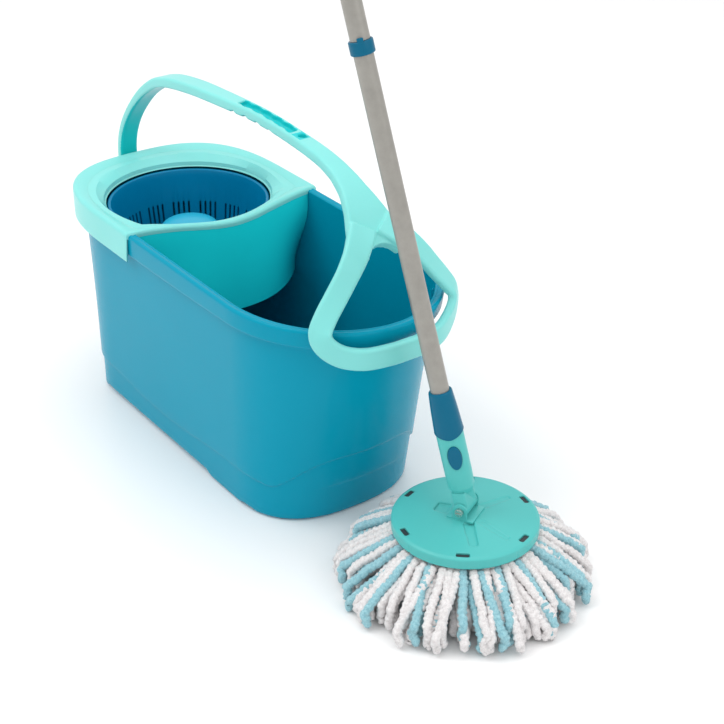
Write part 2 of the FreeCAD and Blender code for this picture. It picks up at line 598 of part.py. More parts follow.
tube("LowerTube", 39.0, (A, -7.2), "lower_tube")
link("LinkA", A, "joint_ring_lower")
tube("MiddleTube", (A, 7.2), (B, -7.2), "middle_tube")
link("LinkB", B, "joint_ring_upper")
tube("UpperTube", (B, 7.2), (E, 0.0), "upper_tube")
node(revolved("HandGrip", [
    (10.02, (E, -105.0)), (12.2, (E, -105.0)), (13.6, (E, -98.0)), (13.2, (E, -70.0)), (14.2, (E, -40.0)), (13.4, (E, -12.0)),
    (14.6, (E, -2.0)), (14.6, (E, 2.0)), (10.02, (E, 2.0))]), "hand_grip", POLE)
cap = revolved("CapTurned", [(0, (E, -22.0)), (9.15, (E, -22.0)), (9.15, (E, 2.05)), (14.6, (E, 2.05)), (14.0, (E, 10.0)), (10.5, (E, 20.0)), (0, (E, 20.0))])
lug = doc.addObject("Part::Box", "CapLug")
lug.Length, lug.Width, lug.Height = 24.0, 9.0, 24.0
lug.Placement = Placement(Vector(-12, -4.5, c[E] + 14), Rotation())
lug_r = cylinder("CapRound", 12.0, 9.0, along_y(0, -4.5, c[E] + 38))
cap_b = fuse("CapBlank", [cap, lug, lug_r])
node(cut("EndCap", cap_b, cylinder("HangHole", "hang_r", 40.0, along_y(0, -20, c[E] + 38))), "end_cap", POLE)

doc.recompute()

bad = []
for o in doc.Objects:
    if any(s in ("Invalid", "Error") for s in o.State):
        bad.append((o.Name, o.State))
for o in nodes:
    s = o.Shape
    if s.isNull() or not s.isValid() or not s.Solids:
        bad.append((o.Label, "shape", s.isNull(), (not s.isNull()) and s.isValid(), len(s.Solids)))
if bad:
    raise RuntimeError("failed: %s" % bad)

os.makedirs("parts", exist_ok=True)
for o in nodes:
    o.Shape.exportStep("parts/%s.step" % o.Label)
    sh = o.Shape.copy()
    sh.tessellate(0.5)
    bb = sh.BoundBox
    print("%-18s solids %d vol %10.1f  x %.1f..%.1f y %.1f..%.1f z %.1f..%.1f" % (
        o.Label, len(o.Shape.Solids), o.Shape.Volume, bb.XMin, bb.XMax, bb.YMin, bb.YMax, bb.ZMin, bb.ZMax))
print(len(nodes), "nodes")
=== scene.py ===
import json
import math
import random

import bmesh
import bpy
import numpy as np
from mathutils import Matrix, Vector

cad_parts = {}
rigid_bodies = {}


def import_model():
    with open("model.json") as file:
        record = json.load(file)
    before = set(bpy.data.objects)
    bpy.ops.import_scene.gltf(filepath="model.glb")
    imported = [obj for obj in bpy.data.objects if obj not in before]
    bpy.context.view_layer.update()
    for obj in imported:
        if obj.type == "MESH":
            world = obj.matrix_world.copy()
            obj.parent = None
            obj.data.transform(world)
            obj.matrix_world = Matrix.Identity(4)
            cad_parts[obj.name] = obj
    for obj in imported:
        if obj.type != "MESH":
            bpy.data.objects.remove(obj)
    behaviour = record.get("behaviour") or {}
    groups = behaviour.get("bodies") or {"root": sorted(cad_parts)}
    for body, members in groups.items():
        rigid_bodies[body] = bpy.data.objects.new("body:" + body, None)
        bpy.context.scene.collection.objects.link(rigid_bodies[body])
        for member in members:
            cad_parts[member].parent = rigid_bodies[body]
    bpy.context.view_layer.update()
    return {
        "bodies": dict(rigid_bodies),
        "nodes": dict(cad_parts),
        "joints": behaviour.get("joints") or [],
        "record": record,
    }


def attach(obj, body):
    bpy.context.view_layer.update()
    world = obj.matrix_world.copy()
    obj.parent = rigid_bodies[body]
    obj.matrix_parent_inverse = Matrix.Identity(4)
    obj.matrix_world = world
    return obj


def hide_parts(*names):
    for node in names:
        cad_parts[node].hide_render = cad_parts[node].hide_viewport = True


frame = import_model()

random.seed(7)
RNG = np.random.default_rng(7)
scene = bpy.context.scene
scene.view_settings.view_transform = "Standard"
scene.view_settings.look = "None"
scene.view_settings.exposure = 0.0
scene.view_settings.gamma = 1.0

# ---------------------------------------------------------------- camera
cam_data = bpy.data.cameras.new("camera")
cam = bpy.data.objects.new("camera", cam_data)
scene.collection.objects.link(cam)
scene.camera = cam
cam_data.sensor_fit = "HORIZONTAL"
cam_data.sensor_width = 36.0
cam_data.lens = 1600.0 / 724.0 * 36.0
cam_data.clip_start, cam_data.clip_end = 0.05, 60.0
look = Vector((-0.70831, 0.50812, -0.49001)).normalized()
right = Vector((0.58289, 0.81255, 0.0)).normalized()
upv = right.cross(look).normalized()
rot = Matrix((right, upv, -look)).transposed()
cam.matrix_world = Matrix.Translation((1.490508, -0.898029, 1.062486)) @ rot.to_4x4()


# ---------------------------------------------------------------- materials
def new_mat(name):
    m = bpy.data.materials.new(name)
    m.use_nodes = True
    nt = m.node_tree
    nt.nodes.clear()
    out = nt.nodes.new("ShaderNodeOutputMaterial")
    bsdf = nt.nodes.new("ShaderNodeBsdfPrincipled")
    nt.links.new(bsdf.outputs["BSDF"], out.inputs["Surface"])
    return m, nt, bsdf


def node(nt, kind, **props):
    n = nt.nodes.new(kind)
    for k, v in props.items():
        if k in n.inputs.keys():
            n.inputs[k].default_value = v
        else:
            setattr(n, k, v)
    return n


def ramp(nt, fac, stops):
    r = nt.nodes.new("ShaderNodeValToRGB")
    el = r.color_ramp.elements
    el[0].position, el[0].color = stops[0][0], (*stops[0][1], 1)
    el[1].position, el[1].color = stops[-1][0], (*stops[-1][1], 1)
    for p, c in stops[1:-1]:
        e = el.new(p)
        e.color = (*c, 1)
    nt.links.new(fac, r.inputs["Fac"])
    return r.outputs["Color"]


def mul(c, k):
    return tuple(min(1.0, max(0.0, x * k)) for x in c)


def plastic(name, color, rough=0.32, grain=900.0, bump=0.02, coat=0.0, spec=0.5, vary=0.05, sss=0.0):
    """Moulded plastic: slow colour drift, fine surface grain, scuffs that lift the roughness, paler colour on sharp
    convex edges.
    """
    m, nt, b = new_mat(name)
    co = node(nt, "ShaderNodeTexCoord").outputs["Object"]
    slow = node(nt, "ShaderNodeTexNoise", Scale=9.0, Detail=3.0, Roughness=0.5)
    nt.links.new(co, slow.inputs["Vector"])
    base = ramp(nt, slow.outputs["Fac"], [(0.30, mul(color, 1 - vary)), (0.70, mul(color, 1 + vary))])
    # sharp convex edges, found by pointiness, get a paler colour
    geo = node(nt, "ShaderNodeNewGeometry")
    pale_edge = nt.nodes.new("ShaderNodeMapRange")
    pale_edge.inputs["From Min"].default_value = 0.56
    pale_edge.inputs["From Max"].default_value = 0.70
    pale_edge.inputs["To Max"].default_value = 0.15
    nt.links.new(geo.outputs["Pointiness"], pale_edge.inputs["Value"])
    mix = nt.nodes.new("ShaderNodeMix")
    mix.data_type = "RGBA"
    mix.inputs["B"].default_value = (*[min(1.0, x * 1.15 + 0.06) for x in color], 1)
    nt.links.new(pale_edge.outputs["Result"], mix.inputs["Factor"])
    nt.links.new(base, mix.inputs["A"])
    nt.links.new(mix.outputs["Result"], b.inputs["Base Color"])
    scuff = node(nt, "ShaderNodeTexNoise", Scale=12.0, Detail=3.0, Roughness=0.5)
    nt.links.new(co, scuff.inputs["Vector"])
    rr = nt.nodes.new("ShaderNodeMapRange")
    rr.inputs["From Min"].default_value = 0.35
    rr.inputs["From Max"].default_value = 0.75
    rr.inputs["To Min"].default_value = rough * 0.95
    rr.inputs["To Max"].default_value = min(1.0, rough * 1.08)
    nt.links.new(scuff.outputs["Fac"], rr.inputs["Value"])
    nt.links.new(rr.outputs["Result"], b.inputs["Roughness"])
    fine = node(nt, "ShaderNodeTexNoise", Scale=grain, Detail=2.0, Roughness=0.6)
    nt.links.new(co, fine.inputs["Vector"])
    bp = node(nt, "ShaderNodeBump", Strength=bump, Distance=0.0004)
    nt.links.new(fine.outputs["Fac"], bp.inputs["Height"])
    nt.links.new(bp.outputs["Normal"], b.inputs["Normal"])
    b.inputs["Specular IOR Level"].default_value = spec
    b.inputs["IOR"].default_value = 1.49
    if coat:
        b.inputs["Coat Weight"].default_value = coat
        b.inputs["Coat Roughness"].default_value = 0.12
    if sss:
        b.inputs["Subsurface Weight"].default_value = sss
        b.inputs["Subsurface Radius"].default_value = (0.3, 0.6, 0.8)
        b.inputs["Subsurface Scale"].default_value = 0.004
    return m


def metal(name, color, rough=0.3, scale=260.0, metallic=1.0, stretch=(1, 1, 0.05)):
    """Plated or coated metal with fine lines along one axis."""
    m, nt, b = new_mat(name)
    co = node(nt, "ShaderNodeTexCoord").outputs["Object"]
    mp = nt.nodes.new("ShaderNodeMapping")
    mp.inputs["Scale"].default_value = stretch
    nt.links.new(co, mp.inputs["Vector"])
    n1 = node(nt, "ShaderNodeTexNoise", Scale=scale, Detail=4.0, Roughness=0.6)
    nt.links.new(mp.outputs["Vector"], n1.inputs["Vector"])
    base = ramp(nt, n1.outputs["Fac"], [(0.3, mul(color, 0.9)), (0.7, mul(color, 1.08))])
    nt.links.new(base, b.inputs["Base Color"])
    rr = nt.nodes.new("ShaderNodeMapRange")
    rr.inputs["From Min"].default_value = 0.3
    rr.inputs["From Max"].default_value = 0.7
    rr.inputs["To Min"].default_value = rough * 0.8
    rr.inputs["To Max"].default_value = rough * 1.25
    nt.links.new(n1.outputs["Fac"], rr.inputs["Value"])
    nt.links.new(rr.outputs["Result"], b.inputs["Roughness"])
    bp = node(nt, "ShaderNodeBump", Strength=0.05, Distance=0.0002)
    nt.links.new(n1.outputs["Fac"], bp.inputs["Height"])
    nt.links.new(bp.outputs["Normal"], b.inputs["Normal"])
    b.inputs["Metallic"].default_value = metallic
    return m


def chenille(name, light, dark):
    """Microfibre chenille: short pile, so soft sheen, clumped colour and a fine fuzzy bump."""
    m, nt, b = new_mat(name)
    co = node(nt, "ShaderNodeTexCoord").outputs["Object"]
    clump = node(nt, "ShaderNodeTexNoise", Scale=420.0, Detail=4.0, Roughness=0.7)
    nt.links.new(co, clump.inputs["Vector"])
    pile = node(nt, "ShaderNodeTexVoronoi", Scale=900.0)
    nt.links.new(co, pile.inputs["Vector"])
    base = ramp(nt, clump.outputs["Fac"], [(0.30, dark), (0.62, light)])
    nt.links.new(base, b.inputs["Base Color"])
    add = node(nt, "ShaderNodeMath", operation="ADD")
    nt.links.new(clump.outputs["Fac"], add.inputs[0])
    nt.links.new(pile.outputs["Distance"], add.inputs[1])
    bp = node(nt, "ShaderNodeBump", Strength=0.7, Distance=0.0012)
    nt.links.new(add.outputs["Value"], bp.inputs["Height"])
    nt.links.new(bp.outputs["Normal"], b.inputs["Normal"])
    b.inputs["Roughness"].default_value = 0.92
    b.inputs["Sheen Weight"].default_value = 0.35
    b.inputs["Sheen Roughness"].default_value = 0.5
    b.inputs["Specular IOR Level"].default_value = 0.2
    return m


BLUE = plastic("bucket_blue", (0.0, 0.300, 0.440), rough=0.24, grain=500.0, bump=0.0015, coat=0.0, vary=0.015, spec=0.10)
MINT = plastic("mint", (0.225, 0.700, 0.670), rough=0.32, grain=500.0, bump=0.003, coat=0.05, vary=0.02, sss=0.1, spec=0.3)
# darker, deeper copy of the handle's mint: painted shade for the inner leg faces and the grip channel
SHADE = plastic("mint_painted_shade", (0.010, 0.560, 0.580), rough=0.30, grain=500.0, bump=0.003, coat=0.04, vary=0.02, spec=0.2)
# lighter, more saturated copy of the collar's mint: painted light that lifts the splash wall out of the shade inside
# the bucket
WALL_PAINTED_LIGHT = plastic("mint_wall_painted_light", (0.012, 0.800, 0.830), rough=0.24, grain=500.0, bump=0.002, coat=0.05, vary=0.02, spec=0.3)
DEEP = plastic("basket_blue", (0.0, 0.200, 0.390), rough=0.22, grain=500.0, bump=0.002, coat=0.03, vary=0.03, spec=0.15)
HUB = plastic("hub_blue", (0.020, 0.430, 0.640), rough=0.3, grain=500.0, bump=0.006, coat=0.1, vary=0.03, spec=0.3)
TEAL = plastic("teal", (0.085, 0.500, 0.480), rough=0.36, grain=700.0, bump=0.015, coat=0.05, vary=0.03, spec=0.3)
NAVY = plastic("navy", (0.0, 0.125, 0.225), rough=0.32, grain=700.0, bump=0.015, vary=0.04, spec=0.2)
GREY = plastic("grey_plastic", (0.33, 0.35, 0.36), rough=0.5, bump=0.03)
DARK = plastic("dark_plastic", (0.02, 0.03, 0.035), rough=0.5, bump=0.03)
BUSH = plastic("bush_white", (0.80, 0.80, 0.77), rough=0.45, bump=0.02)
STEEL = metal("steel", (0.62, 0.60, 0.57), rough=0.28)
TUBE = metal("tube_grey", (0.330, 0.318, 0.290), rough=0.36, metallic=0.3, scale=60.0, stretch=(1, 1, 1))
YWHITE = chenille("yarn_white", (0.95, 0.93, 0.93), (0.74, 0.70, 0.70))
YBLUE = chenille("yarn_blue", (0.40, 0.70, 0.77), (0.22, 0.50, 0.59))


# ---------------------------------------------------------------- mesh helpers (millimetres in, metres out)
def make(name, verts, faces, mat, body, slot=None, matrix=None, sharp=38.0, cad=(), weld=0.02):
    v = np.asarray(verts, float)
    me = bpy.data.meshes.new(name)
    me.from_pydata((v * 0.001).tolist(), [], [tuple(int(i) for i in f) for f in faces])
    bm = bmesh.new()
    bm.from_mesh(me)
    if weld:
        bmesh.ops.remove_doubles(bm, verts=bm.verts, dist=weld * 0.001)
    bmesh.ops.dissolve_degenerate(bm, edges=bm.edges, dist=1e-7)
    bmesh.ops.recalc_face_normals(bm, faces=bm.faces)
    bm.to_mesh(me)
    bm.free()
    if matrix is not None:
        me.transform(matrix)
    me.polygons.foreach_set("use_smooth", [True] * len(me.polygons))
    if sharp:
        me.set_sharp_from_angle(angle=math.radians(sharp))
    me.materials.append(mat)
    ob = bpy.data.objects.new(name, me)
    scene.collection.objects.link(ob)
    if body:
        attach(ob, body)
    if cad:
        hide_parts(*cad)
    return ob


def grid(rings, closed_u=True, closed_v=False, cap0=False, cap1=False):
    """Quads between rings of the same length; returns verts, faces."""
    n = len(rings[0])
    v = np.vstack(rings)
    f = []
    m = len(rings)
    for j in range(m if closed_v else m - 1):
        a, b = j * n, ((j + 1) % m) * n
        for i in range(n if closed_u else n - 1):
            k = (i + 1) % n
            f.append((a + i, a + k, b + k, b + i))
    if cap0:
        f.append(tuple(range(n - 1, -1, -1)))
    if cap1:
        f.append(tuple((m - 1) * n + i for i in range(n)))
    return v, f


def rounded(pts, radii, closed=True, seg=5):
    """A polygon with its corners turned into arcs. pts: 2-D points, radii: one per corner."""
    out = []
    n = len(pts)
    for i in range(n):
        p = np.array(pts[i], float)
        r = radii[i] if hasattr(radii, "__len__") else radii
        if r <= 0 or (not closed and i in (0, n - 1)):
            out.append(p)
            continue
        a, b = np.array(pts[i - 1], float) - p, np.array(pts[(i + 1) % n], float) - p
        la, lb = np.linalg.norm(a), np.linalg.norm(b)
        a, b = a / la, b / lb
        cosv = float(np.clip(a @ b, -1, 1))
        half = math.acos(cosv) / 2
        if half > math.radians(88):
            out.append(p)
            continue
        d = min(r / math.tan(half), la * 0.48, lb * 0.48)
        r2 = d * math.tan(half)
        bis = (a + b) / np.linalg.norm(a + b)
        cen = p + bis * (r2 / math.sin(half))
        p0, p1 = p + a * d, p + b * d
        a0, a1 = math.atan2(*(p0 - cen)[::-1]), math.atan2(*(p1 - cen)[::-1])
        da = (a1 - a0 + math.pi) % (2 * math.pi) - math.pi
        for k in range(seg + 1):
            t = a0 + da * k / seg
            out.append(cen + r2 * np.array([math.cos(t), math.sin(t)]))
    return np.array(out)


def lathe(name, prof, mat, body, slot, matrix=None, n=96, cad=(), closed=True, sharp=38.0):
    """A turned piece from (radius, z) points in order round the section; axis points have radius 0."""
    a = np.linspace(0, 2 * math.pi, n, endpoint=False)
    rings = [np.c_[r * np.cos(a), r * np.sin(a), np.full(n, z)] for r, z in prof]
    v, f = grid(rings, True, closed)
    return make(name, v, f, mat, body, slot, matrix, sharp, cad)


# ---------------------------------------------------------------- frames
SPIN = Matrix.Translation((-0.133, 0, 0))
MOP = Matrix.Translation((0.410, 0.013, 0)) @ Matrix.Rotation(math.radians(28.0), 4, "Z")
POLE = MOP @ Matrix.Translation((0, 0, 0.097)) @ Matrix.Rotation(math.radians(-14.3), 4, "Y")


# ---------------------------------------------------------------- oval outlines
def seg_points(fn, n):
    """n points evenly spaced along a dense curve, both ends included."""
    p = fn(np.linspace(0, 1, 1600))
    s = np.r_[0, np.cumsum(np.linalg.norm(np.diff(p, axis=0), axis=1))]
    t = np.linspace(0, s[-1], n)
    return np.c_[np.interp(t, s, p[:, 0]), np.interp(t, s, p[:, 1])]


def oval(xl, xr, w, al, nl, ar, nr, nside=44, nend=92):
    lx, rx = xl + al, xr - ar

    def end(cx, a, n, sign):
        def fn(u):
            t = np.pi * (u - 0.5)
            return np.c_[cx + sign * a * np.maximum(np.cos(t), 0) ** (2 / n),
                         sign * w * np.sign(np.sin(t)) * np.abs(np.sin(t)) ** (2 / n)]
        return fn

    near = np.c_[np.linspace(lx, rx, nside, endpoint=False), np.full(nside, -w)]
    nose = seg_points(end(rx, ar, nr, 1), nend)[:-1]
    far = np.c_[np.linspace(rx, lx, nside, endpoint=False), np.full(nside, w)]
    tail = seg_points(end(lx, al, nl, -1), nend)[:-1]
    return np.vstack([near, nose, far, tail])


def normals2(p):
    t = np.roll(p, -1, 0) - np.roll(p, 1, 0)
    t /= np.linalg.norm(t, axis=1)[:, None]
    return np.c_[t[:, 1], -t[:, 0]]


FOOT = oval(-236, 234, 112.0, 80, 3.0, 100, 2.5)
RIMI = oval(-264.3, 304, 120.5, 155, 2.84, 142, 2.0)
ZT = 272.5


def wall(z, off):
    """Points on the bucket wall at height z (number or one per column), moved inward by off."""
    z = np.broadcast_to(np.asarray(z, float), (len(FOOT),))
    k = (z / ZT)[:, None]
    p = FOOT * (1 - k) + RIMI * k
    q = p - normals2(p) * np.broadcast_to(np.asarray(off, float), (len(FOOT),))[:, None]
    return np.c_[q, z]


# wave line: low along the sides, a hump round each end
def smooth(x):
    x = np.clip(x, 0, 1)
    return x * x * (3 - 2 * x)


mid = 0.8 * FOOT + 0.2 * RIMI
hump_r = smooth((mid[:, 0] - 196) / 54)
hump_l = smooth((-mid[:, 0] - 190) / 52)
dip = np.exp(-((mid[:, 0] - 215) / 26) ** 2) * 5
ZW = 40 + 12 * smooth((mid[:, 0] + 20) / 160) + 8 * smooth((-mid[:, 0] - 60) / 100) + 43 * hump_r + 38 * hump_l - dip
ZW2 = ZW * 0.56 - 2
raise_ = smooth((mid[:, 0] + 186) / 7) * smooth((84 - mid[:, 0]) / 7) * 5.0
raise_ += smooth((mid[:, 0] - 150) / 5) * smooth((178 - mid[:, 0]) / 5) * 2.0
ZB = raise_ * (np.abs(mid[:, 1]) > 104)
ZF = 247.5 + 6.0 * smooth((mid[:, 0] + 60) / 330)

rings = []
foot_in = wall(1.6, 34.0)
spine = np.c_[np.clip(foot_in[:, 0], -120, 140), np.zeros(len(foot_in)), np.full(len(foot_in), 2.2)]
rings.append(spine)
rings.append(foot_in * 0.5 + spine * 0.5)
rings.append(foot_in)
rings.append(wall(1.6, 14.0))
rings.append(wall(ZB * 0.9 + 0.5, 11.5))
rings.append(wall(ZB, 9.5))
for a in np.linspace(0, 90, 7)[1:]:
    t = math.radians(a)
    rings.append(wall(ZB + 6 * (1 - math.cos(t)), 8.5 - 6.0 * math.sin(t)))
lo0, lo1 = ZB + 6, ZW2 - 2.0
for k in np.linspace(0, 1, 4)[1:]:
    rings.append(wall(lo0 + (lo1 - lo0) * k, 2.5))
soft = 0.75 * (hump_r * smooth((70 - np.abs(mid[:, 1])) / 25))
for dz, k in ((0.0, 0.2), (1.2, 0.7), (2.6, 1.0)):
    rings.append(wall(ZW2 + dz, 2.5 - soft * k))
up0, up1 = ZW2 + 2.6, ZW - 3.0
for k in np.linspace(0, 1, 6)[1:]:
    rings.append(wall(up0 + (up1 - up0) * k, 2.5 - soft * (1 - k)))
for dz, off in ((-2.0, 2.45), (-1.2, 2.1), (-0.3, 1.2), (0.5, 0.45), (1.4, 0.1), (2.4, 0.0)):
    rings.append(wall(ZW + dz, off))
for k in np.linspace(0, 1, 16)[1:]:
    rings.append(wall(ZW + 2.4 + (ZF - 9 - ZW - 2.4) * k, 0.0))
for dz, off in ((-5.5, -0.05), (-3.0, -0.4), (-1.4, -1.1), (-0.5, -2.4), (-0.1, -4.2), (0.0, -6.2), (0.5, -7.3), (1.5, -7.9), (3.0, -8.0)):
    rings.append(wall(ZF + dz, off))
for z in (257.0, 262.0, 267.0):
    rings.append(wall(np.maximum(z, ZF + 3.2), -8.0))
for a in np.linspace(0, 90, 7):
    t = math.radians(a)
    rings.append(wall(271.0 + 4.0 * math.sin(t), -4.6 - 3.4 * math.cos(t)))
rings.append(wall(274.75, -3.4))
rings.append(wall(274.2, -2.4))
rings.append(wall(274.2, -0.6))
rings.append(wall(274.7, 0.2))
for a in np.linspace(90, 0, 5):
    t = math.radians(a)
    rings.append(wall(273.3 + 1.4 * math.sin(t), 2.6 - 1.5 * math.sin(t)))
for z in np.linspace(268, 22, 18):
    rings.append(wall(z, 2.6))
for a in np.linspace(0, 90, 7)[1:]:
    t = math.radians(a)
    rings.append(wall(22 - 19 * math.sin(t), 2.6 + 16 * (1 - math.cos(t))))
fl = wall(3.0, 30.0)
sp2 = np.c_[np.clip(fl[:, 0], -120, 140), np.zeros(len(fl)), np.full(len(fl), 3.0)]
rings += [fl, fl * 0.5 + sp2 * 0.5, sp2]
v, f = grid(rings)
tub = make("tub", v, f, BLUE, "root", "bucket_blue", cad=("bucket_tub",), sharp=30)


def ribs_on_wall():
    """Shallow upright ribs on the inside of the pool's nose."""
    vs, fs = [], []
    for t in np.linspace(-0.42, 0.42, 9):
        i = int(np.argmin(np.hypot(RIMI[:, 0] - (200 + 96 * math.cos(t * 2.4)), RIMI[:, 1] - 118 * math.sin(t * 2.4))))
        q = [wall(z, 2.9)[i] for z in (30, 90, 160, 225, 262)]
        q2 = [wall(z, 4.6)[i] for z in (30, 90, 160, 225, 262)]
        nx = normals2(RIMI)[i]
        tx = np.array([-nx[1], nx[0], 0]) * 1.3
        b0 = len(vs)
        for a, b in zip(q, q2):
            vs += [a - tx * 1.5, b - tx * 0.5, b + tx * 0.5, a + tx * 1.5]
        for k in range(4):
            for j in range(3):
                o = b0 + 4 * k + j
                fs.append((o, o + 1, o + 5, o + 4))
            fs.append((b0 + 4 * k + 3, b0 + 4 * k, b0 + 4 * k + 4, b0 + 4 * k + 7))
        fs += [(b0, b0 + 1, b0 + 2, b0 + 3), (b0 + 19, b0 + 18, b0 + 17, b0 + 16)]
    return vs, fs


v, f = ribs_on_wall()
make("pool_ribs", v, f, BLUE, "root", "bucket_blue", weld=0)


# ---------------------------------------------------------------- splash collar
CREST = np.array([(-52, -140), (-50.5, -124), (-48.5, -106), (-43.5, -88), (-35, -66), (-25, -47), (-15.5, -26), (-11.2, -8), (-11.5, 8), (-15, 27),
                  (-21.5, 47), (-28, 68), (-34, 88), (-38.5, 106), (-41, 122), (-42, 140)], float)


def spline(p, n):
    """Even points along a Catmull-Rom curve through p."""
    p = np.asarray(p, float)
    q = np.vstack([2 * p[0] - p[1], p, 2 * p[-1] - p[-2]])
    out = []
    for i in range(1, len(q) - 2):
        for t in np.linspace(0, 1, 24, endpoint=False):
            a, b, c, d = q[i - 1], q[i], q[i + 1], q[i + 2]
            out.append(0.5 * ((2 * b) + (c - a) * t + (2 * a - 5 * b + 4 * c - d) * t * t + (3 * b - a - 3 * c + d) * t ** 3))
    out.append(q[-2])
    out = np.array(out)
    s = np.r_[0, np.cumsum(np.linalg.norm(np.diff(out, axis=0), axis=1))]
    t = np.linspace(0, s[-1], n)
    return np.stack([np.interp(t, s, out[:, k]) for k in range(p.shape[1])], 1)


crest = spline(CREST, 400)
BAND = oval(-275.3, 315, 131.5, 166, 2.84, 153, 2.0, 200, 300)
N = 360
ANG = np.linspace(-math.pi, math.pi, N, endpoint=False)


def reach(poly, ang, cen=(-133.0, 0.0)):
    """Distance from the spinner axis to a closed outline in each direction."""
    d = poly - np.array(cen)
    a = np.unwrap(np.arctan2(d[:, 1], d[:, 0]))
    r = np.hypot(d[:, 0], d[:, 1])
    o = np.argsort(a % (2 * math.pi))
    return np.interp(ang % (2 * math.pi), (a % (2 * math.pi))[o], r[o], period=2 * math.pi)


r_band = reach(BAND, ANG)
ca = np.unwrap(np.arctan2(crest[:, 1], crest[:, 0] + 133.0))
r_crest = np.interp(ANG, ca, np.hypot(crest[:, 0] + 133.0, crest[:, 1]), left=9e3, right=9e3)
R = np.minimum(r_band, r_crest)
IS_CREST = r_crest < r_band
UN = np.c_[np.cos(ANG), np.sin(ANG)]


def ring_at(r, z):
    r = np.broadcast_to(np.asarray(r, float), (N,))
    z = np.broadcast_to(np.asarray(z, float), (N,))
    return np.c_[UN[:, 0] * r - 133.0, UN[:, 1] * r, z]


low = np.where(IS_CREST, 270.0, 240.3)
lip = np.where(IS_CREST, 2.6, 3.0)
rings = [ring_at(102.0, 262.2)]
for s in (0.02, 0.05, 0.1, 0.16, 0.24, 0.34, 0.46, 0.58, 0.7, 0.82, 0.92, 0.98):
    rr = 102.0 + (R - 5.0 - 102.0) * s
    rings.append(ring_at(rr, 262.2 + 15.7 * (1 - (1 - s) ** 1.75)))
for a in np.linspace(90, 0, 8):
    t = math.radians(a)
    rings.append(ring_at(R - 4.6 + 4.6 * math.cos(t), 273.3 + 4.6 * math.sin(t)))
for k in (0.2, 0.45, 0.7, 0.88):
    rings.append(ring_at(R, 273.9 + (low - 273.9) * k))
rings.append(ring_at(R - 0.15, low + 0.9))
rings.append(ring_at(R - 0.7, low + 0.2))
rings.append(ring_at(R - 1.4, low))
rings.append(ring_at(R - lip + 0.1, low + 0.1))
rings.append(ring_at(R - lip, low + 3.0))
rings.append(ring_at(R - lip, 274.0))
rings.append(ring_at(R - lip - 0.8, 275.05))
for s in (0.95, 0.8, 0.6, 0.42, 0.3):
    rr = 104.5 + (R - 6.0 - 104.5) * s
    rings.append(ring_at(rr, 275.05))
rings.append(ring_at(np.minimum(104.6, R - 6.0), 268.0))
rings.append(ring_at(103.4, 262.2))
v, f = grid(rings, True, True)
collar_ob = make("collar", v, f, MINT, "root", "mint", cad=("splash_collar",), sharp=32)

# splash wall hanging from the crest down into the bucket
cw, zz = [], np.r_[np.linspace(158.5, 262, 20), 266, 270, 273.5]


def wall_half(z):
    """Half width of the bucket's cavity at height z."""
    k = z / ZT
    return 112.0 * (1 - k) + 120.5 * k - 2.75


def skirt_ring(z, off, m=90):
    h = wall_half(z)
    y = h * np.sin(np.linspace(-math.pi / 2, math.pi / 2, m))
    x_top = np.interp(y, crest[:, 1], crest[:, 0])
    x_bot = -11.0 - 57.0 * np.abs(y / 114.0) ** 2.4
    k = smooth(np.array((252 - z) / 92.0))
    x = x_top * (1 - k) + x_bot * k
    p = np.c_[x, y]
    t = np.gradient(p, axis=0)
    t /= np.linalg.norm(t, axis=1)[:, None]
    q = p + np.c_[-t[:, 1], t[:, 0]] * off
    q[:, 1] = np.clip(q[:, 1], -h, h)
    return np.c_[q, np.full(m, z)]


rings = [skirt_ring(z, 0.4) for z in zz[::-1]] + [skirt_ring(158.0, 0.9), skirt_ring(158.0, 2.3)] + [skirt_ring(z, 2.9) for z in zz]
v, f = grid(rings, False, True)
m0 = len(rings)
f += [tuple(90 * j for j in range(m0 - 1, -1, -1)), tuple(90 * j + 89 for j in range(m0))]
# the splash wall takes the lighter mint as painted light
make("splash_wall", v, f, WALL_PAINTED_LIGHT, "root", "mint", cad=("splash_collar",), sharp=40)


# ---------------------------------------------------------------- cutting and softening
def apply(ob, *mods):
    """Turn modifiers into geometry. mods: (kind, {settings})."""
    for i, (kind, kw) in enumerate(mods):
        md = ob.modifiers.new("m%d" % i, kind)
        for k, val in kw.items():
            setattr(md, k, val)
    dg = bpy.context.evaluated_depsgraph_get()
    me = bpy.data.meshes.new_from_object(ob.evaluated_get(dg), depsgraph=dg)
    ob.modifiers.clear()
    old = ob.data
    ob.data = me
    bpy.data.meshes.remove(old)
    return ob


def cutter(verts, faces, matrix=None):
    me = bpy.data.meshes.new("cutter")
    me.from_pydata((np.asarray(verts, float) * 0.001).tolist(), [], [tuple(int(i) for i in q) for q in faces])
    bm = bmesh.new()
    bm.from_mesh(me)
    bmesh.ops.recalc_face_normals(bm, faces=bm.faces)
    bm.to_mesh(me)
    bm.free()
    if matrix is not None:
        me.transform(matrix)
    ob = bpy.data.objects.new("cutter", me)
    scene.collection.objects.link(ob)
    return ob


def subtract(ob, verts, faces, matrix=None, op="DIFFERENCE", solver="EXACT"):
    c = cutter(verts, faces, matrix)
    apply(ob, ("BOOLEAN", {"object": c, "operation": op, "solver": solver}))
    bpy.data.objects.remove(c, do_unlink=True)
    return ob


def shade(ob, sharp=35.0):
    me = ob.data
    me.polygons.foreach_set("use_smooth", [True] * len(me.polygons))
    me.set_sharp_from_angle(angle=math.radians(sharp))


def soften(ob, voxel, rounds, factor=0.5):
    apply(ob, ("REMESH", {"mode": "VOXEL", "voxel_size": voxel * 0.001, "adaptivity": 0.0}),
          ("SMOOTH", {"iterations": rounds, "factor": factor}))
    ob.data.polygons.foreach_set("use_smooth", [True] * len(ob.data.polygons))


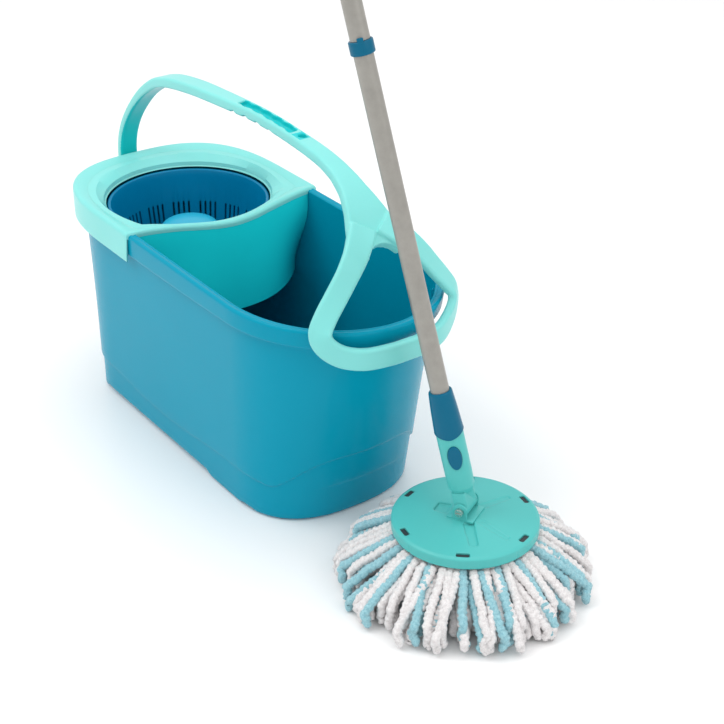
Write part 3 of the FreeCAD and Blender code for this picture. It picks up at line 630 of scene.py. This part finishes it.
def prism(loop2, frame, d0, d1):
    """A closed 2-D loop pushed along the frame's third column. frame: 4x4."""
    n = len(loop2)
    v = [frame @ Vector((p[0], p[1], d0)) for p in loop2] + [frame @ Vector((p[0], p[1], d1)) for p in loop2]
    f = [tuple(range(n - 1, -1, -1)), tuple(range(n, 2 * n))] + [(i, (i + 1) % n, n + (i + 1) % n, n + i) for i in range(n)]
    return [tuple(x) for x in v], f


def join_parts(parts):
    vs, fs = [], []
    for v, f in parts:
        o = len(vs)
        vs += [tuple(p) for p in v]
        fs += [tuple(i + o for i in q) for q in f]
    return vs, fs


def box_part(x0, x1, y0, y1, z0, z1, m=None):
    c = [(x, y, z) for z in (z0, z1) for y in (y0, y1) for x in (x0, x1)]
    f = [(0, 2, 3, 1), (4, 5, 7, 6), (0, 1, 5, 4), (2, 6, 7, 3), (0, 4, 6, 2), (1, 3, 7, 5)]
    if m is not None:
        c = [tuple(m @ Vector(p)) for p in c]
    return c, f


def drum(r, z0, z1, m=None, n=32):
    a = np.linspace(0, 2 * math.pi, n, endpoint=False)
    v = [(r * math.cos(t), r * math.sin(t), z) for z in (z0, z1) for t in a]
    if m is not None:
        v = [tuple(m @ Vector(p)) for p in v]
    f = [tuple(range(n - 1, -1, -1)), tuple(range(n, 2 * n))] + [(i, (i + 1) % n, n + (i + 1) % n, n + i) for i in range(n)]
    return v, f


def rounded_box(name, dims, r, mat, body, slot, matrix=None, cad=(), seg=3):
    v, f = box_part(*dims)
    ob = make(name, v, f, mat, body, slot, None, 0, cad)
    apply(ob, ("BEVEL", {"width": r * 0.001, "segments": seg, "limit_method": "ANGLE"}))
    if matrix is not None:
        ob.data.transform(matrix)
    shade(ob)
    return ob


# ---------------------------------------------------------------- spin basket
prof = rounded([(15.06, 168), (23.06, 168), (23.06, 121), (26.0, 121), (26.0, 168), (86, 168), (97.5, 252), (100.8, 256.2), (100.8, 260.5),
                (96.5, 260.5), (94.9, 252), (83.4, 171), (15.06, 171)],
               [0.4, 1.5, 0.4, 0.4, 1.5, 4.0, 2.0, 1.2, 2.0, 1.8, 4.0, 3.0, 0.6], True, 4)
basket = lathe("basket", prof, DEEP, "basket", "basket_blue", SPIN, 192, cad=("spin_basket",), sharp=30)
parts = []
cap_a = np.linspace(0, math.pi, 7)
slot2 = [(1.3 * math.cos(t), 217.7 + 1.3 * math.sin(t)) for t in cap_a] + [(1.3 * math.cos(t), 179.3 + 1.3 * math.sin(t)) for t in cap_a + math.pi]
for g in range(16):
    for k in range(4):
        a = math.radians(g * 22.5 + (k - 1.5) * 4.3)
        fr = Matrix.Translation((-133, 0, 0)) @ Matrix.Rotation(a, 4, "Z") @ Matrix(((0, 0, 1, 0), (1, 0, 0, 0), (0, 1, 0, 0), (0, 0, 0, 1)))
        parts.append(prism(slot2, fr, 76, 106))
for i in range(12):
    a = math.radians(30 * i)
    parts.append(drum(4.0, 164, 175, Matrix.Translation((60 * math.cos(a) - 133, 60 * math.sin(a), 0)), 20))
v, f = join_parts(parts)
subtract(basket, v, f)
shade(basket, 30)

# hub that is pressed to spin the basket: smooth dome
prof = [(0, 233.0), (5, 232.95), (11, 232.6), (17, 231.9), (23, 230.9), (28, 229.5), (31.5, 228.0), (34, 226.4), (35.6, 224.6), (36.4, 222.8),
        (36.5, 221.5), (36.2, 221.0), (34.2, 221.0), (33.9, 221.6), (33.6, 223.3), (30, 226.2), (22, 228.6), (15, 229.4), (15, 147.2), (12, 147.2),
        (12, 165.5), (8, 165.5), (8, 229.2), (0, 229.2)]
lathe("hub", prof, HUB, "plunger", "hub_blue", SPIN, 96, cad=("press_hub",), closed=False, sharp=42)


# ---------------------------------------------------------------- carry handle
def strap(points, norms, ws, ts, n_out=160, r=3.2):
    """A bar of rounded rectangular section along a smooth line; returns verts, faces."""
    p = spline(points, n_out)
    s0 = np.r_[0, np.cumsum(np.linalg.norm(np.diff(np.asarray(points, float), axis=0), axis=1))]
    s = np.linspace(0, s0[-1], n_out)
    nn = np.stack([np.interp(s, s0, np.asarray(norms, float)[:, k]) for k in range(3)], 1)
    w = np.interp(s, s0, ws)
    t = np.interp(s, s0, ts)
    tan = np.gradient(p, axis=0)
    tan /= np.linalg.norm(tan, axis=1)[:, None]
    nn -= tan * np.sum(nn * tan, axis=1)[:, None]
    nn /= np.linalg.norm(nn, axis=1)[:, None]
    b = np.cross(tan, nn)
    rings = []
    for i in range(n_out):
        hw, ht = w[i] / 2, t[i] / 2
        q = rounded([(-hw, -ht), (hw, -ht), (hw, ht), (-hw, ht)], min(r, ht * 0.9), True, 5)
        rings.append(p[i] + q[:, :1] * b[i] + q[:, 1:] * nn[i])
    return grid(rings, True, False, True, True)


side = [(-290, 252), (-289.5, 282), (-280, 310), (-259, 340), (-225, 373), (-190, 396), (-165, 405.5), (-137, 411.5),
        (-92, 417), (-48, 420), (0, 422.5), (39, 424), (81.5, 423), (117, 420.5), (150, 417.5), (176, 413.5),
        (200, 406.5), (222, 395), (240, 380.5), (252, 367), (262, 355), (275.5, 339)]
nrm = []
for i in range(len(side)):
    a, b = side[max(i - 1, 0)], side[min(i + 1, len(side) - 1)]
    d = math.hypot(b[0] - a[0], b[1] - a[1])
    nrm.append((-(b[1] - a[1]) / d, 0, (b[0] - a[0]) / d))
ws = [25.0] * 5 + [26.0, 27.0, 27.0, 26.0, 24.0, 22.0, 20.5, 20.0, 20.0, 21.0, 22.0, 25.0, 32.0, 45.0, 58.0, 68.0, 78.0]
ts = [11.0] * 4 + [12.0] + [13.0] * 14 + [12.0] * 3
main = strap([(x, 0, z) for x, z in side], nrm, ws, ts, 260)
LOOP = [(256, 12, 368), (267, 24, 357.5), (275, 35, 347), (280, 49, 331.5), (281.5, 64, 312), (283, 78, 294), (286, 87, 279), (291, 83.5, 265),
        (300, 69, 253), (311.5, 48, 248.5), (319, 22, 249), (321.5, 0, 250)]
LOOP_N = [(.68, 0, .73), (.68, .05, .73), (.72, .1, .68), (.8, .2, .55), (.8, .35, .45), (.74, .55, .3), (.68, .72, .05), (.72, .69, 0), (.82, .57, 0),
          (.93, .36, 0), (.99, .12, 0), (1, 0, 0)]
mir = lambda pts: [(x, -y, z) for x, y, z in pts][::-1]
# the ring runs round both sides: near leg, bottom bar, far leg
ring_pts = LOOP + mir(LOOP[:-1])
ring_nrm = LOOP_N + [(x, -y, z) for x, y, z in LOOP_N[:-1]][::-1]
lw = [30, 29, 27] + [25] * 9
lt = [12, 12, 11.5] + [10] * 9
loop = strap(ring_pts, ring_nrm, lw + lw[:-1][::-1], lt + lt[:-1][::-1], 300, 3.4)
RX = Matrix.Rotation(math.radians(-90), 4, "X")


def along_y(x, y, z):
    return Matrix.Translation((x, y, z)) @ RX


eye = drum(10.0, 0, 25.0, along_y(-290, -12.5, 252), 48)
NOTCH = [(0, 0), (7, 1.2), (13, 4.5), (18, 10), (22, 18), (28, 30), (36, 48)]
notch2 = NOTCH + [(-y, v_) for y, v_ in NOTCH[:0:-1]]
NF = Matrix(((0, 0.73, 0.68, 270), (1, 0, 0, 0), (0, -0.68, 0.73, 352), (0, 0, 0, 1)))
handle = make("handle", *main, MINT, "handle", "mint", None, 0, ("carry_handle",), 0)
subtract(handle, *prism(notch2, NF, -25, 25))
for part in (loop, eye):
    subtract(handle, *part, op="UNION")
tools = [drum(4.06, 0, 60, along_y(-290, -30, 252), 32)]
gp = [(3, 0, 429.8), (22, 0, 430.4), (40, 0, 431.0), (61, 0, 430.6), (82, 0, 430.0), (98, 0, 428.8), (114, 0, 427.4)]
kk = np.linspace(0, 1, 60)
gps = spline(gp, 60)
for i_ in range(60):
    gps[i_, 1] += 0.9 * math.sin(kk[i_] * 2 * math.pi * 5.0)
ch, chf = strap(gps[::2], [(0.08 * q, 0, 1) for q in np.linspace(0, 1, 30)], 12.3 - 1.8 * np.abs(np.sin(kk[::2] * math.pi * 5.0)), [14.0] * 30, 90, 2.0)
tools.append((ch, chf))
tools.append(drum(5.4, 0, 30, Matrix.Translation((126, 2.0, 420.5)), 24))
for x in (0, 25, 50, 75):
    z = 415.7 if x in (0, 75) else 417.0
    tools.append(drum(7.0, 0, 60, along_y(x, -30, z - 3.5), 32))
for t in tools:
    subtract(handle, *t)
soften(handle, 1.1, 5, 0.5)
# faces on the inner side of the leg and inside the grip channel get the darker mint as painted shade
handle.data.materials.append(SHADE)
nf = len(handle.data.polygons)
hc, hn = np.empty(nf * 3), np.empty(nf * 3)
handle.data.polygons.foreach_get("center", hc)
handle.data.polygons.foreach_get("normal", hn)
hc, hn = hc.reshape(-1, 3) * 1000, hn.reshape(-1, 3)
leg_inner_painted_shade = (hc[:, 0] < -150) & (hn[:, 0] > 0.45) & (np.abs(hc[:, 1]) < 12) & (hn[:, 2] < 0.2)
grip_channel_painted_shade = (hc[:, 0] > 1) & (hc[:, 0] < 134) & (np.abs(hc[:, 1]) < 7.2) & (hc[:, 2] > 420.5) & ((np.abs(hn[:, 1]) > 0.35) | (hc[:, 2] < 427))
handle.data.polygons.foreach_set("material_index", np.where(leg_inner_painted_shade | grip_channel_painted_shade, 1, 0).astype(np.int32))

# pin of the handle, with its round head
v, f = drum(4.0, 0, 47.0, along_y(-290, -22, 252), 40)
pin = make("pin", v, f, STEEL, "root", "steel", None, 0, ("handle_pin",))
subtract(pin, *drum(7.0, 0, 3.0, along_y(-290, -25, 252), 40), op="UNION")
apply(pin, ("BEVEL", {"width": 0.0006, "segments": 2, "limit_method": "ANGLE"}))
shade(pin)


# ---------------------------------------------------------------- mop plate
prof = rounded([(0, 86), (24, 86), (60, 83.9), (75.8, 83.0), (79.5, 81.0), (79.5, 70), (76.3, 70), (76.1, 77), (24, 80), (0, 80)],
               [0, 3, 6, 1.5, 1.6, 0.5, 0.5, 0.6, 2, 0], True, 4)
plate = lathe("plate", prof[:], TEAL, "mop_head", "teal", MOP, 144, cad=("mop_plate",), closed=False)
cuts = []
for i in range(6):
    a = math.radians(60 * i - 9)
    q = rounded([(69, -7), (75, -7), (75, 7), (69, 7)], 1.2, True, 4)
    cuts.append(prism(q, Matrix.Rotation(a, 4, "Z"), 75.5, 92))
for i in range(12):
    a = math.radians(30 * i + 6)
    cuts.append(box_part(76.0, 82, -0.65, 0.65, 69.0, 79.5, Matrix.Rotation(a, 4, "Z")))
for ang, r0, r1, w, dz in ((-58, 17, 58, 12, 2.2), (182, 19, 34, 20, 2.6), (-20, 20, 62, 9, 1.2), (60, 19, 60, 9, 1.0), (122, 19, 60, 9, 1.0)):
    q = rounded([(r0, -w / 2), (r1, -w / 2 * 0.8), (r1, w / 2 * 0.8), (r0, w / 2)], 3.0, True, 5)
    fr = Matrix.Rotation(math.radians(ang), 4, "Z")
    v, f = prism(q, fr, 0, 1)
    n = len(q)
    vv = []
    for kk, (x, y, z) in enumerate(v):
        rad = math.hypot(x, y)
        top = float(np.interp(rad, [0, 24, 60, 77], [86, 86, 83.9, 83]))
        vv.append((x, y, 92.0 if kk >= n else top - dz))
    cuts.append((vv, f))
for c_ in cuts:
    subtract(plate, *c_, matrix=MOP)
soften(plate, 0.75, 2, 0.5)

# hinge bracket with its two ears, and the bolt
jb = make("hinge_bracket", *box_part(-15, 15, -16.5, 16.5, 85.9, 88.0), TEAL, "mop_head", "teal", None, 0, ("joint_bracket",), 0)
ear = rounded([(-8, 87), (8, 87), (8, 105.5), (-8, 105.5)], [0, 0, 7.0, 7.0], True, 8)
XZ = Matrix(((1, 0, 0, 0), (0, 0, -1, 0), (0, 1, 0, 0), (0, 0, 0, 1)))
for y0 in (-16.5, 14.5):
    subtract(jb, *prism(ear, Matrix.Translation((0, y0 + 2.0, 0)) @ XZ, 0, 2.0), op="UNION")
subtract(jb, *drum(2.56, 0, 60, along_y(0, -30, 97), 32))
apply(jb, ("BEVEL", {"width": 0.0005, "segments": 2, "limit_method": "ANGLE", "angle_limit": math.radians(40)}))
jb.data.transform(MOP)
shade(jb)
bolt = make("bolt", *drum(2.5, 0, 37.0, along_y(0, -18.5, 97), 32), STEEL, "mop_head", "steel", None, 0, ("hinge_bolt",), 0)
for y0 in (16.6, -19.8):
    subtract(bolt, *drum(4.6, 0, 3.2, along_y(0, y0, 97), 40), op="UNION")
for y0 in (19.0, -20.6):
    subtract(bolt, *box_part(-3.2, 3.2, y0, y0 + 1.6, 96.4, 97.6))
apply(bolt, ("BEVEL", {"width": 0.0006, "segments": 3, "limit_method": "ANGLE", "angle_limit": math.radians(40)}))
bolt.data.transform(MOP)
shade(bolt)

# ---------------------------------------------------------------- yarn
def strand(path, r, seed, n=64, m=9):
    """A chenille strand: a thick bumpy tube along a path with rounded ends."""
    p = spline(path, n)
    tan = np.gradient(p, axis=0)
    tan /= np.linalg.norm(tan, axis=1)[:, None]
    ref = np.array([0.0, 0.0, 1.0])
    a = np.cross(tan, ref)
    ln = np.linalg.norm(a, axis=1)
    a[ln < 0.2] = a[np.argmax(ln)]
    for i in range(1, n):
        a[i] -= tan[i] * (a[i] @ tan[i])
        if a[i] @ a[i - 1] < 0:
            a[i] = -a[i]
        a[i] = 0.5 * a[i] / np.linalg.norm(a[i]) + 0.5 * a[i - 1]
        a[i] -= tan[i] * (a[i] @ tan[i])
        a[i] /= np.linalg.norm(a[i])
    a[0] -= tan[0] * (a[0] @ tan[0])
    a[0] /= np.linalg.norm(a[0])
    b = np.cross(tan, a)
    rng = np.random.default_rng(seed)
    th = np.linspace(0, 2 * math.pi, m, endpoint=False)
    ph, fr = rng.uniform(0, 6.3), rng.uniform(0.9, 1.15)
    s = np.r_[0, np.cumsum(np.linalg.norm(np.diff(p, axis=0), axis=1))]
    rings = []
    for i in range(n):
        e = min(s[i], s[-1] - s[i])
        cap = math.sqrt(max(0.0, 1 - (1 - min(1.0, e / r)) ** 2))
        bead = 0.11 * math.sin(s[i] * fr * 1.05 + ph)
        rr = r * (0.18 + 0.82 * cap) * (0.97 + bead + rng.uniform(-0.10, 0.10, m) + 0.09 * np.sin(2 * th + s[i] * 0.62 + ph))
        rings.append(p[i] + (np.cos(th) * rr)[:, None] * a[i] + (np.sin(th) * rr)[:, None] * b[i])
    return grid(rings, True, False, True, True)


def pad_top(r):
    return float(np.interp(r, [60, 78, 94, 114, 132, 143, 146], [69.3, 68.6, 61.0, 49.5, 35.0, 21.0, 10.0]))


white, blue_y = [], []
count = 0
LAYERS = ((64, 4.9, 0.0, 122, 140.5), (64, 4.9, 8.6, 110, 139.5), (56, 5.1, 17.5, 92, 130), (40, 5.4, 27.0, 70, 108), (24, 5.6, 37.0, 40, 78))
for layer, (num, rad, top_off, end_lo, end_hi) in enumerate(LAYERS):
    for i in range(num):
        a = 2 * math.pi * (i + (0.5 if layer % 2 else 0) + RNG.uniform(-0.3, 0.3)) / num
        drift = RNG.uniform(-0.16, 0.16)
        end = max(57.5, RNG.uniform(end_lo, end_hi))
        swell = RNG.uniform(0, 3.5)
        path = []
        start = 57 if layer == 0 else 53
        for r in np.linspace(start, end, 8):
            z = pad_top(r) - rad - top_off * float(smooth(np.array((r - start) / 18.0))) - swell * float(smooth(np.array((r - 80) / 30.0)))
            z -= RNG.uniform(0, 1.0) + (0.6 if layer == 0 else 0)
            z = max(z, rad + 0.3)
            aa = a + drift * max(0.0, (r - start) / 90.0) ** 1.3 + RNG.uniform(-0.010, 0.010)
            path.append((r * math.cos(aa), r * math.sin(aa), z))
        last = np.array(path[-1])
        if last[2] > rad + 3:
            dz = last[2]
            for q in (0.3, 0.62, 0.95):
                rr = min(end + RNG.uniform(-1.0, 3.0) * q, 144.8 - rad)
                aa = a + drift * max(0.0, (end - start) / 90.0) ** 1.3 + RNG.uniform(-0.025, 0.025)
                path.append((rr * math.cos(aa), rr * math.sin(aa), max(rad + 0.3, dz * (1 - q))))
        part = strand(path, rad, 100 + count, 76 if layer < 2 else 48, 9)
        (blue_y if (count * 7 + layer * 3) % 13 in (0, 1, 4, 9) else white).append(part)
        count += 1
v, f = join_parts(white)
make("yarn_light", v, f, YWHITE, "mop_head", "yarn", MOP, 0, ("yarn_pad",), 0)
v, f = join_parts(blue_y)
make("yarn_tinted", v, f, YBLUE, "mop_head", "yarn", MOP, 0, ("yarn_pad",), 0)

# ---------------------------------------------------------------- pole
sock = lathe("socket", rounded([(0, 17), (10.5, 17), (14.2, 24), (14.6, 40), (14.6, 92), (10.02, 92), (10.02, 38), (0, 38)],
                               [0, 2.0, 3.0, 3.0, 0.5, 0.4, 0.4, 0], True, 4), TEAL, "pole", "teal", None, 72, ("joint_socket",), False)
neck = rounded([(-7.8, -13.2), (7.8, -13.2), (7.8, 13.2), (-7.8, 13.2)], 2.4, True, 4)
subtract(sock, *prism(neck, Matrix.Identity(4), 0, 20), op="UNION")
subtract(sock, *drum(7.8, 0, 27.6, along_y(0, -13.8, 0), 40), op="UNION")
BTN = Matrix.Rotation(math.radians(-62), 4, "Z") @ Matrix.Translation((0, 0, 63)) @ Matrix(((0, 0, 1, 0), (1, 0, 0, 0), (0, 1, 0, 0), (0, 0, 0, 1)))
th = np.linspace(0, 2 * math.pi, 48, endpoint=False)
subtract(sock, *prism(np.c_[7.65 * np.cos(th), 13.85 * np.sin(th)], BTN, 10.6, 20))
subtract(sock, *drum(2.56, 0, 60, along_y(0, -30, 0), 32))
apply(sock, ("BEVEL", {"width": 0.0006, "segments": 2, "limit_method": "ANGLE", "angle_limit": math.radians(40)}))
sock.data.transform(POLE)
shade(sock)

# oval button with a bevelled face
rings = []
for off, d in ((0.0, 12.9), (0.0, 15.2), (0.25, 15.9), (0.9, 16.25), (1.8, 16.4), (4.2, 16.5)):
    rings.append(np.array([BTN @ Vector(((7.3 - off) * math.cos(t), (13.5 - off) * math.sin(t), d - 0.06 * ((7.3 - off) * math.cos(t)) ** 2 / 7.3)) for t in th]))
v, f = grid(rings, True, False, True, True)
make("button", v, f, NAVY, "button", "navy", POLE, 30, ("release_button",))

# dark sleeve: flared foot with a wavy edge, tapered collar
n = 144
a = np.linspace(0, 2 * math.pi, n, endpoint=False)
foot = 84.2 + 5.0 * (0.5 - 0.5 * np.cos((a + math.radians(62)) * 2)) ** 0.8
foot = foot + 6.0 * (1 - smooth((np.abs((a + math.radians(62) + math.pi) % (2 * math.pi) - math.pi) - 0.35) / 0.25)) * 0
rings = []


def sl(r, z):
    r = np.broadcast_to(np.asarray(r, float), (n,))
    z = np.broadcast_to(np.asarray(z, float), (n,))
    return np.c_[r * np.cos(a), r * np.sin(a), z]


for r, k in ((15.55, 0.6), (15.75, 0.15), (15.75, -0.5)):
    rings.append(sl(r, foot - k + 0.6))
for q in np.linspace(0.08, 1, 6):
    rings.append(sl(15.7 - 0.4 * q, foot + (96 - foot) * q))
for r, z in ((15.1, 100), (14.8, 105), (14.45, 111), (14.05, 117), (13.5, 124), (13.0, 129.5), (12.75, 132.5), (12.6, 134), (12.3, 135.2), (11.7, 135.9), (10.8, 136), (10.1, 136),
             (10.05, 134), (10.05, 100), (10.05, 92.6), (12.5, 92.3), (14.6, 92.3)):
    rings.append(sl(r, z))
rings.append(sl(14.7, np.minimum(foot + 1.0, 92.2)))
v, f = grid(rings, True, True)
make("sleeve", v, f, NAVY, "pole", "navy", POLE, 40, ("tube_sleeve",), 0)

# rings at the joints, each with a small tab
for at, label in ((500.0, "joint_ring_lower"), (860.0, "joint_ring_upper")):
    prof = rounded([(0, at - 35), (9.15, at - 35), (9.15, at - 6), (10.9, at - 7), (12.3, at - 6.2), (12.3, at + 6.2), (10.9, at + 7), (9.15, at + 6),
                    (9.15, at + 35), (0, at + 35)], [0, 0.5, 0.2, 0.6, 1.4, 1.4, 0.6, 0.2, 0.5, 0], True, 4)
    lathe(label + "_look", prof, NAVY, "pole", "navy", POLE, 64, cad=(label,), closed=False)
tab_m = POLE @ Matrix.Rotation(math.radians(-62), 4, "Z")
for at in (500.0, 860.0):
    rounded_box("ring_tab_%d" % int(at), (10.1, 12.2, -3.2, 3.2, at + 5.5, at + 10.5), 0.8, NAVY, "pole", "navy", tab_m)

# grip with shallow waves and a hanging cap
E = 1235.0
prof = [(10.05, E - 104.8), (11.7, E - 105), (12.6, E - 104.3), (13.2, E - 102)]
for q in np.linspace(0, 1, 60):
    z = E - 100 + 97 * q
    prof.append((13.45 + 0.55 * math.sin(q * math.pi * 8) + 0.5 * q, z))
prof += [(14.6, E - 1.4), (14.6, E + 1.2), (14.2, E + 1.9), (10.05, E + 1.9)]
lathe("grip", prof, NAVY, "pole", "navy", POLE, 72, cad=("hand_grip",), closed=True)
cap = lathe("cap", rounded([(0, E - 22), (9.15, E - 22), (9.15, E + 2.05), (14.6, E + 2.05), (14.0, E + 10), (10.5, E + 20), (0, E + 20)],
                           [0, 0.6, 0.3, 1.6, 3.0, 3.0, 0], True, 5), NAVY, "pole", "navy", None, 64, ("end_cap",), False)
lug = rounded([(-12, E + 14), (12, E + 14), (12, E + 50), (-12, E + 50)], [0, 0, 11.9, 11.9], True, 14)
subtract(cap, *prism(lug, Matrix.Translation((0, 4.5, 0)) @ XZ, 0, 9.0), op="UNION")
subtract(cap, *drum(5.0, 0, 40, along_y(0, -20, E + 38), 40))
apply(cap, ("BEVEL", {"width": 0.0009, "segments": 3, "limit_method": "ANGLE", "angle_limit": math.radians(40)}))
cap.data.transform(POLE)
shade(cap)

# ---------------------------------------------------------------- frame pieces that show as they are
LOOKS = {"center_post": GREY, "post_screws": STEEL, "bearing_bush": BUSH, "twist_spindle": STEEL, "handle_bracket": MINT,
         "bracket_screws": STEEL, "stem_ring": GREY, "return_spring": STEEL, "drive_nut": BUSH, "yarn_carrier": DARK,
         "lower_tube": TUBE, "middle_tube": TUBE, "upper_tube": TUBE, "button_spring": STEEL}
for label, mat in LOOKS.items():
    ob = frame["nodes"][label]
    if not ob.material_slots:
        ob.data.materials.append(None)
    for s_ in ob.material_slots:
        s_.link = "OBJECT"
        s_.material = mat

# ---------------------------------------------------------------- floor and light
bm = bmesh.new()
bmesh.ops.create_grid(bm, x_segments=1, y_segments=1, size=9.0)
me = bpy.data.meshes.new("floor")
bm.to_mesh(me)
bm.free()
floor = bpy.data.objects.new("floor", me)
floor.location = (0, 0, -0.0002)
scene.collection.objects.link(floor)
m, nt, b = new_mat("floor_white")
co = node(nt, "ShaderNodeTexCoord").outputs["Object"]
nz = node(nt, "ShaderNodeTexNoise", Scale=0.8, Detail=2.0)
nt.links.new(co, nz.inputs["Vector"])
nt.links.new(ramp(nt, nz.outputs["Fac"], [(0.3, (0.965, 0.965, 0.965)), (0.7, (0.98, 0.98, 0.98))]), b.inputs["Base Color"])
b.inputs["Roughness"].default_value = 0.35
b.inputs["Specular IOR Level"].default_value = 0.35
me.materials.append(m)

world = bpy.data.worlds.new("studio")
scene.world = world
world.use_nodes = True
wn = world.node_tree
wn.nodes.clear()
wo = wn.nodes.new("ShaderNodeOutputWorld")
bg = wn.nodes.new("ShaderNodeBackground")
bg.inputs["Color"].default_value = (1.0, 1.0, 1.0, 1)
bg.inputs["Strength"].default_value = 0.88
wn.links.new(bg.outputs["Background"], wo.inputs["Surface"])


def area(name, loc, target, size, watts, color=(1, 1, 1), size_y=None):
    d = bpy.data.lights.new(name, "AREA")
    d.shape = "RECTANGLE"
    d.size, d.size_y = size, size_y or size
    d.energy = watts
    d.color = color
    o = bpy.data.objects.new(name, d)
    o.location = loc
    o.rotation_euler = (Vector(target) - Vector(loc)).to_track_quat("-Z", "Y").to_euler()
    scene.collection.objects.link(o)
    return o


area("key", (-0.6, -1.5, 2.6), (0, 0, 0.3), 1.6, 26)
area("fill", (2.4, 0.6, 1.6), (0.1, 0, 0.3), 1.6, 10)
area("top", (0.0, 0.4, 3.0), (0, 0, 0.2), 1.8, 14)
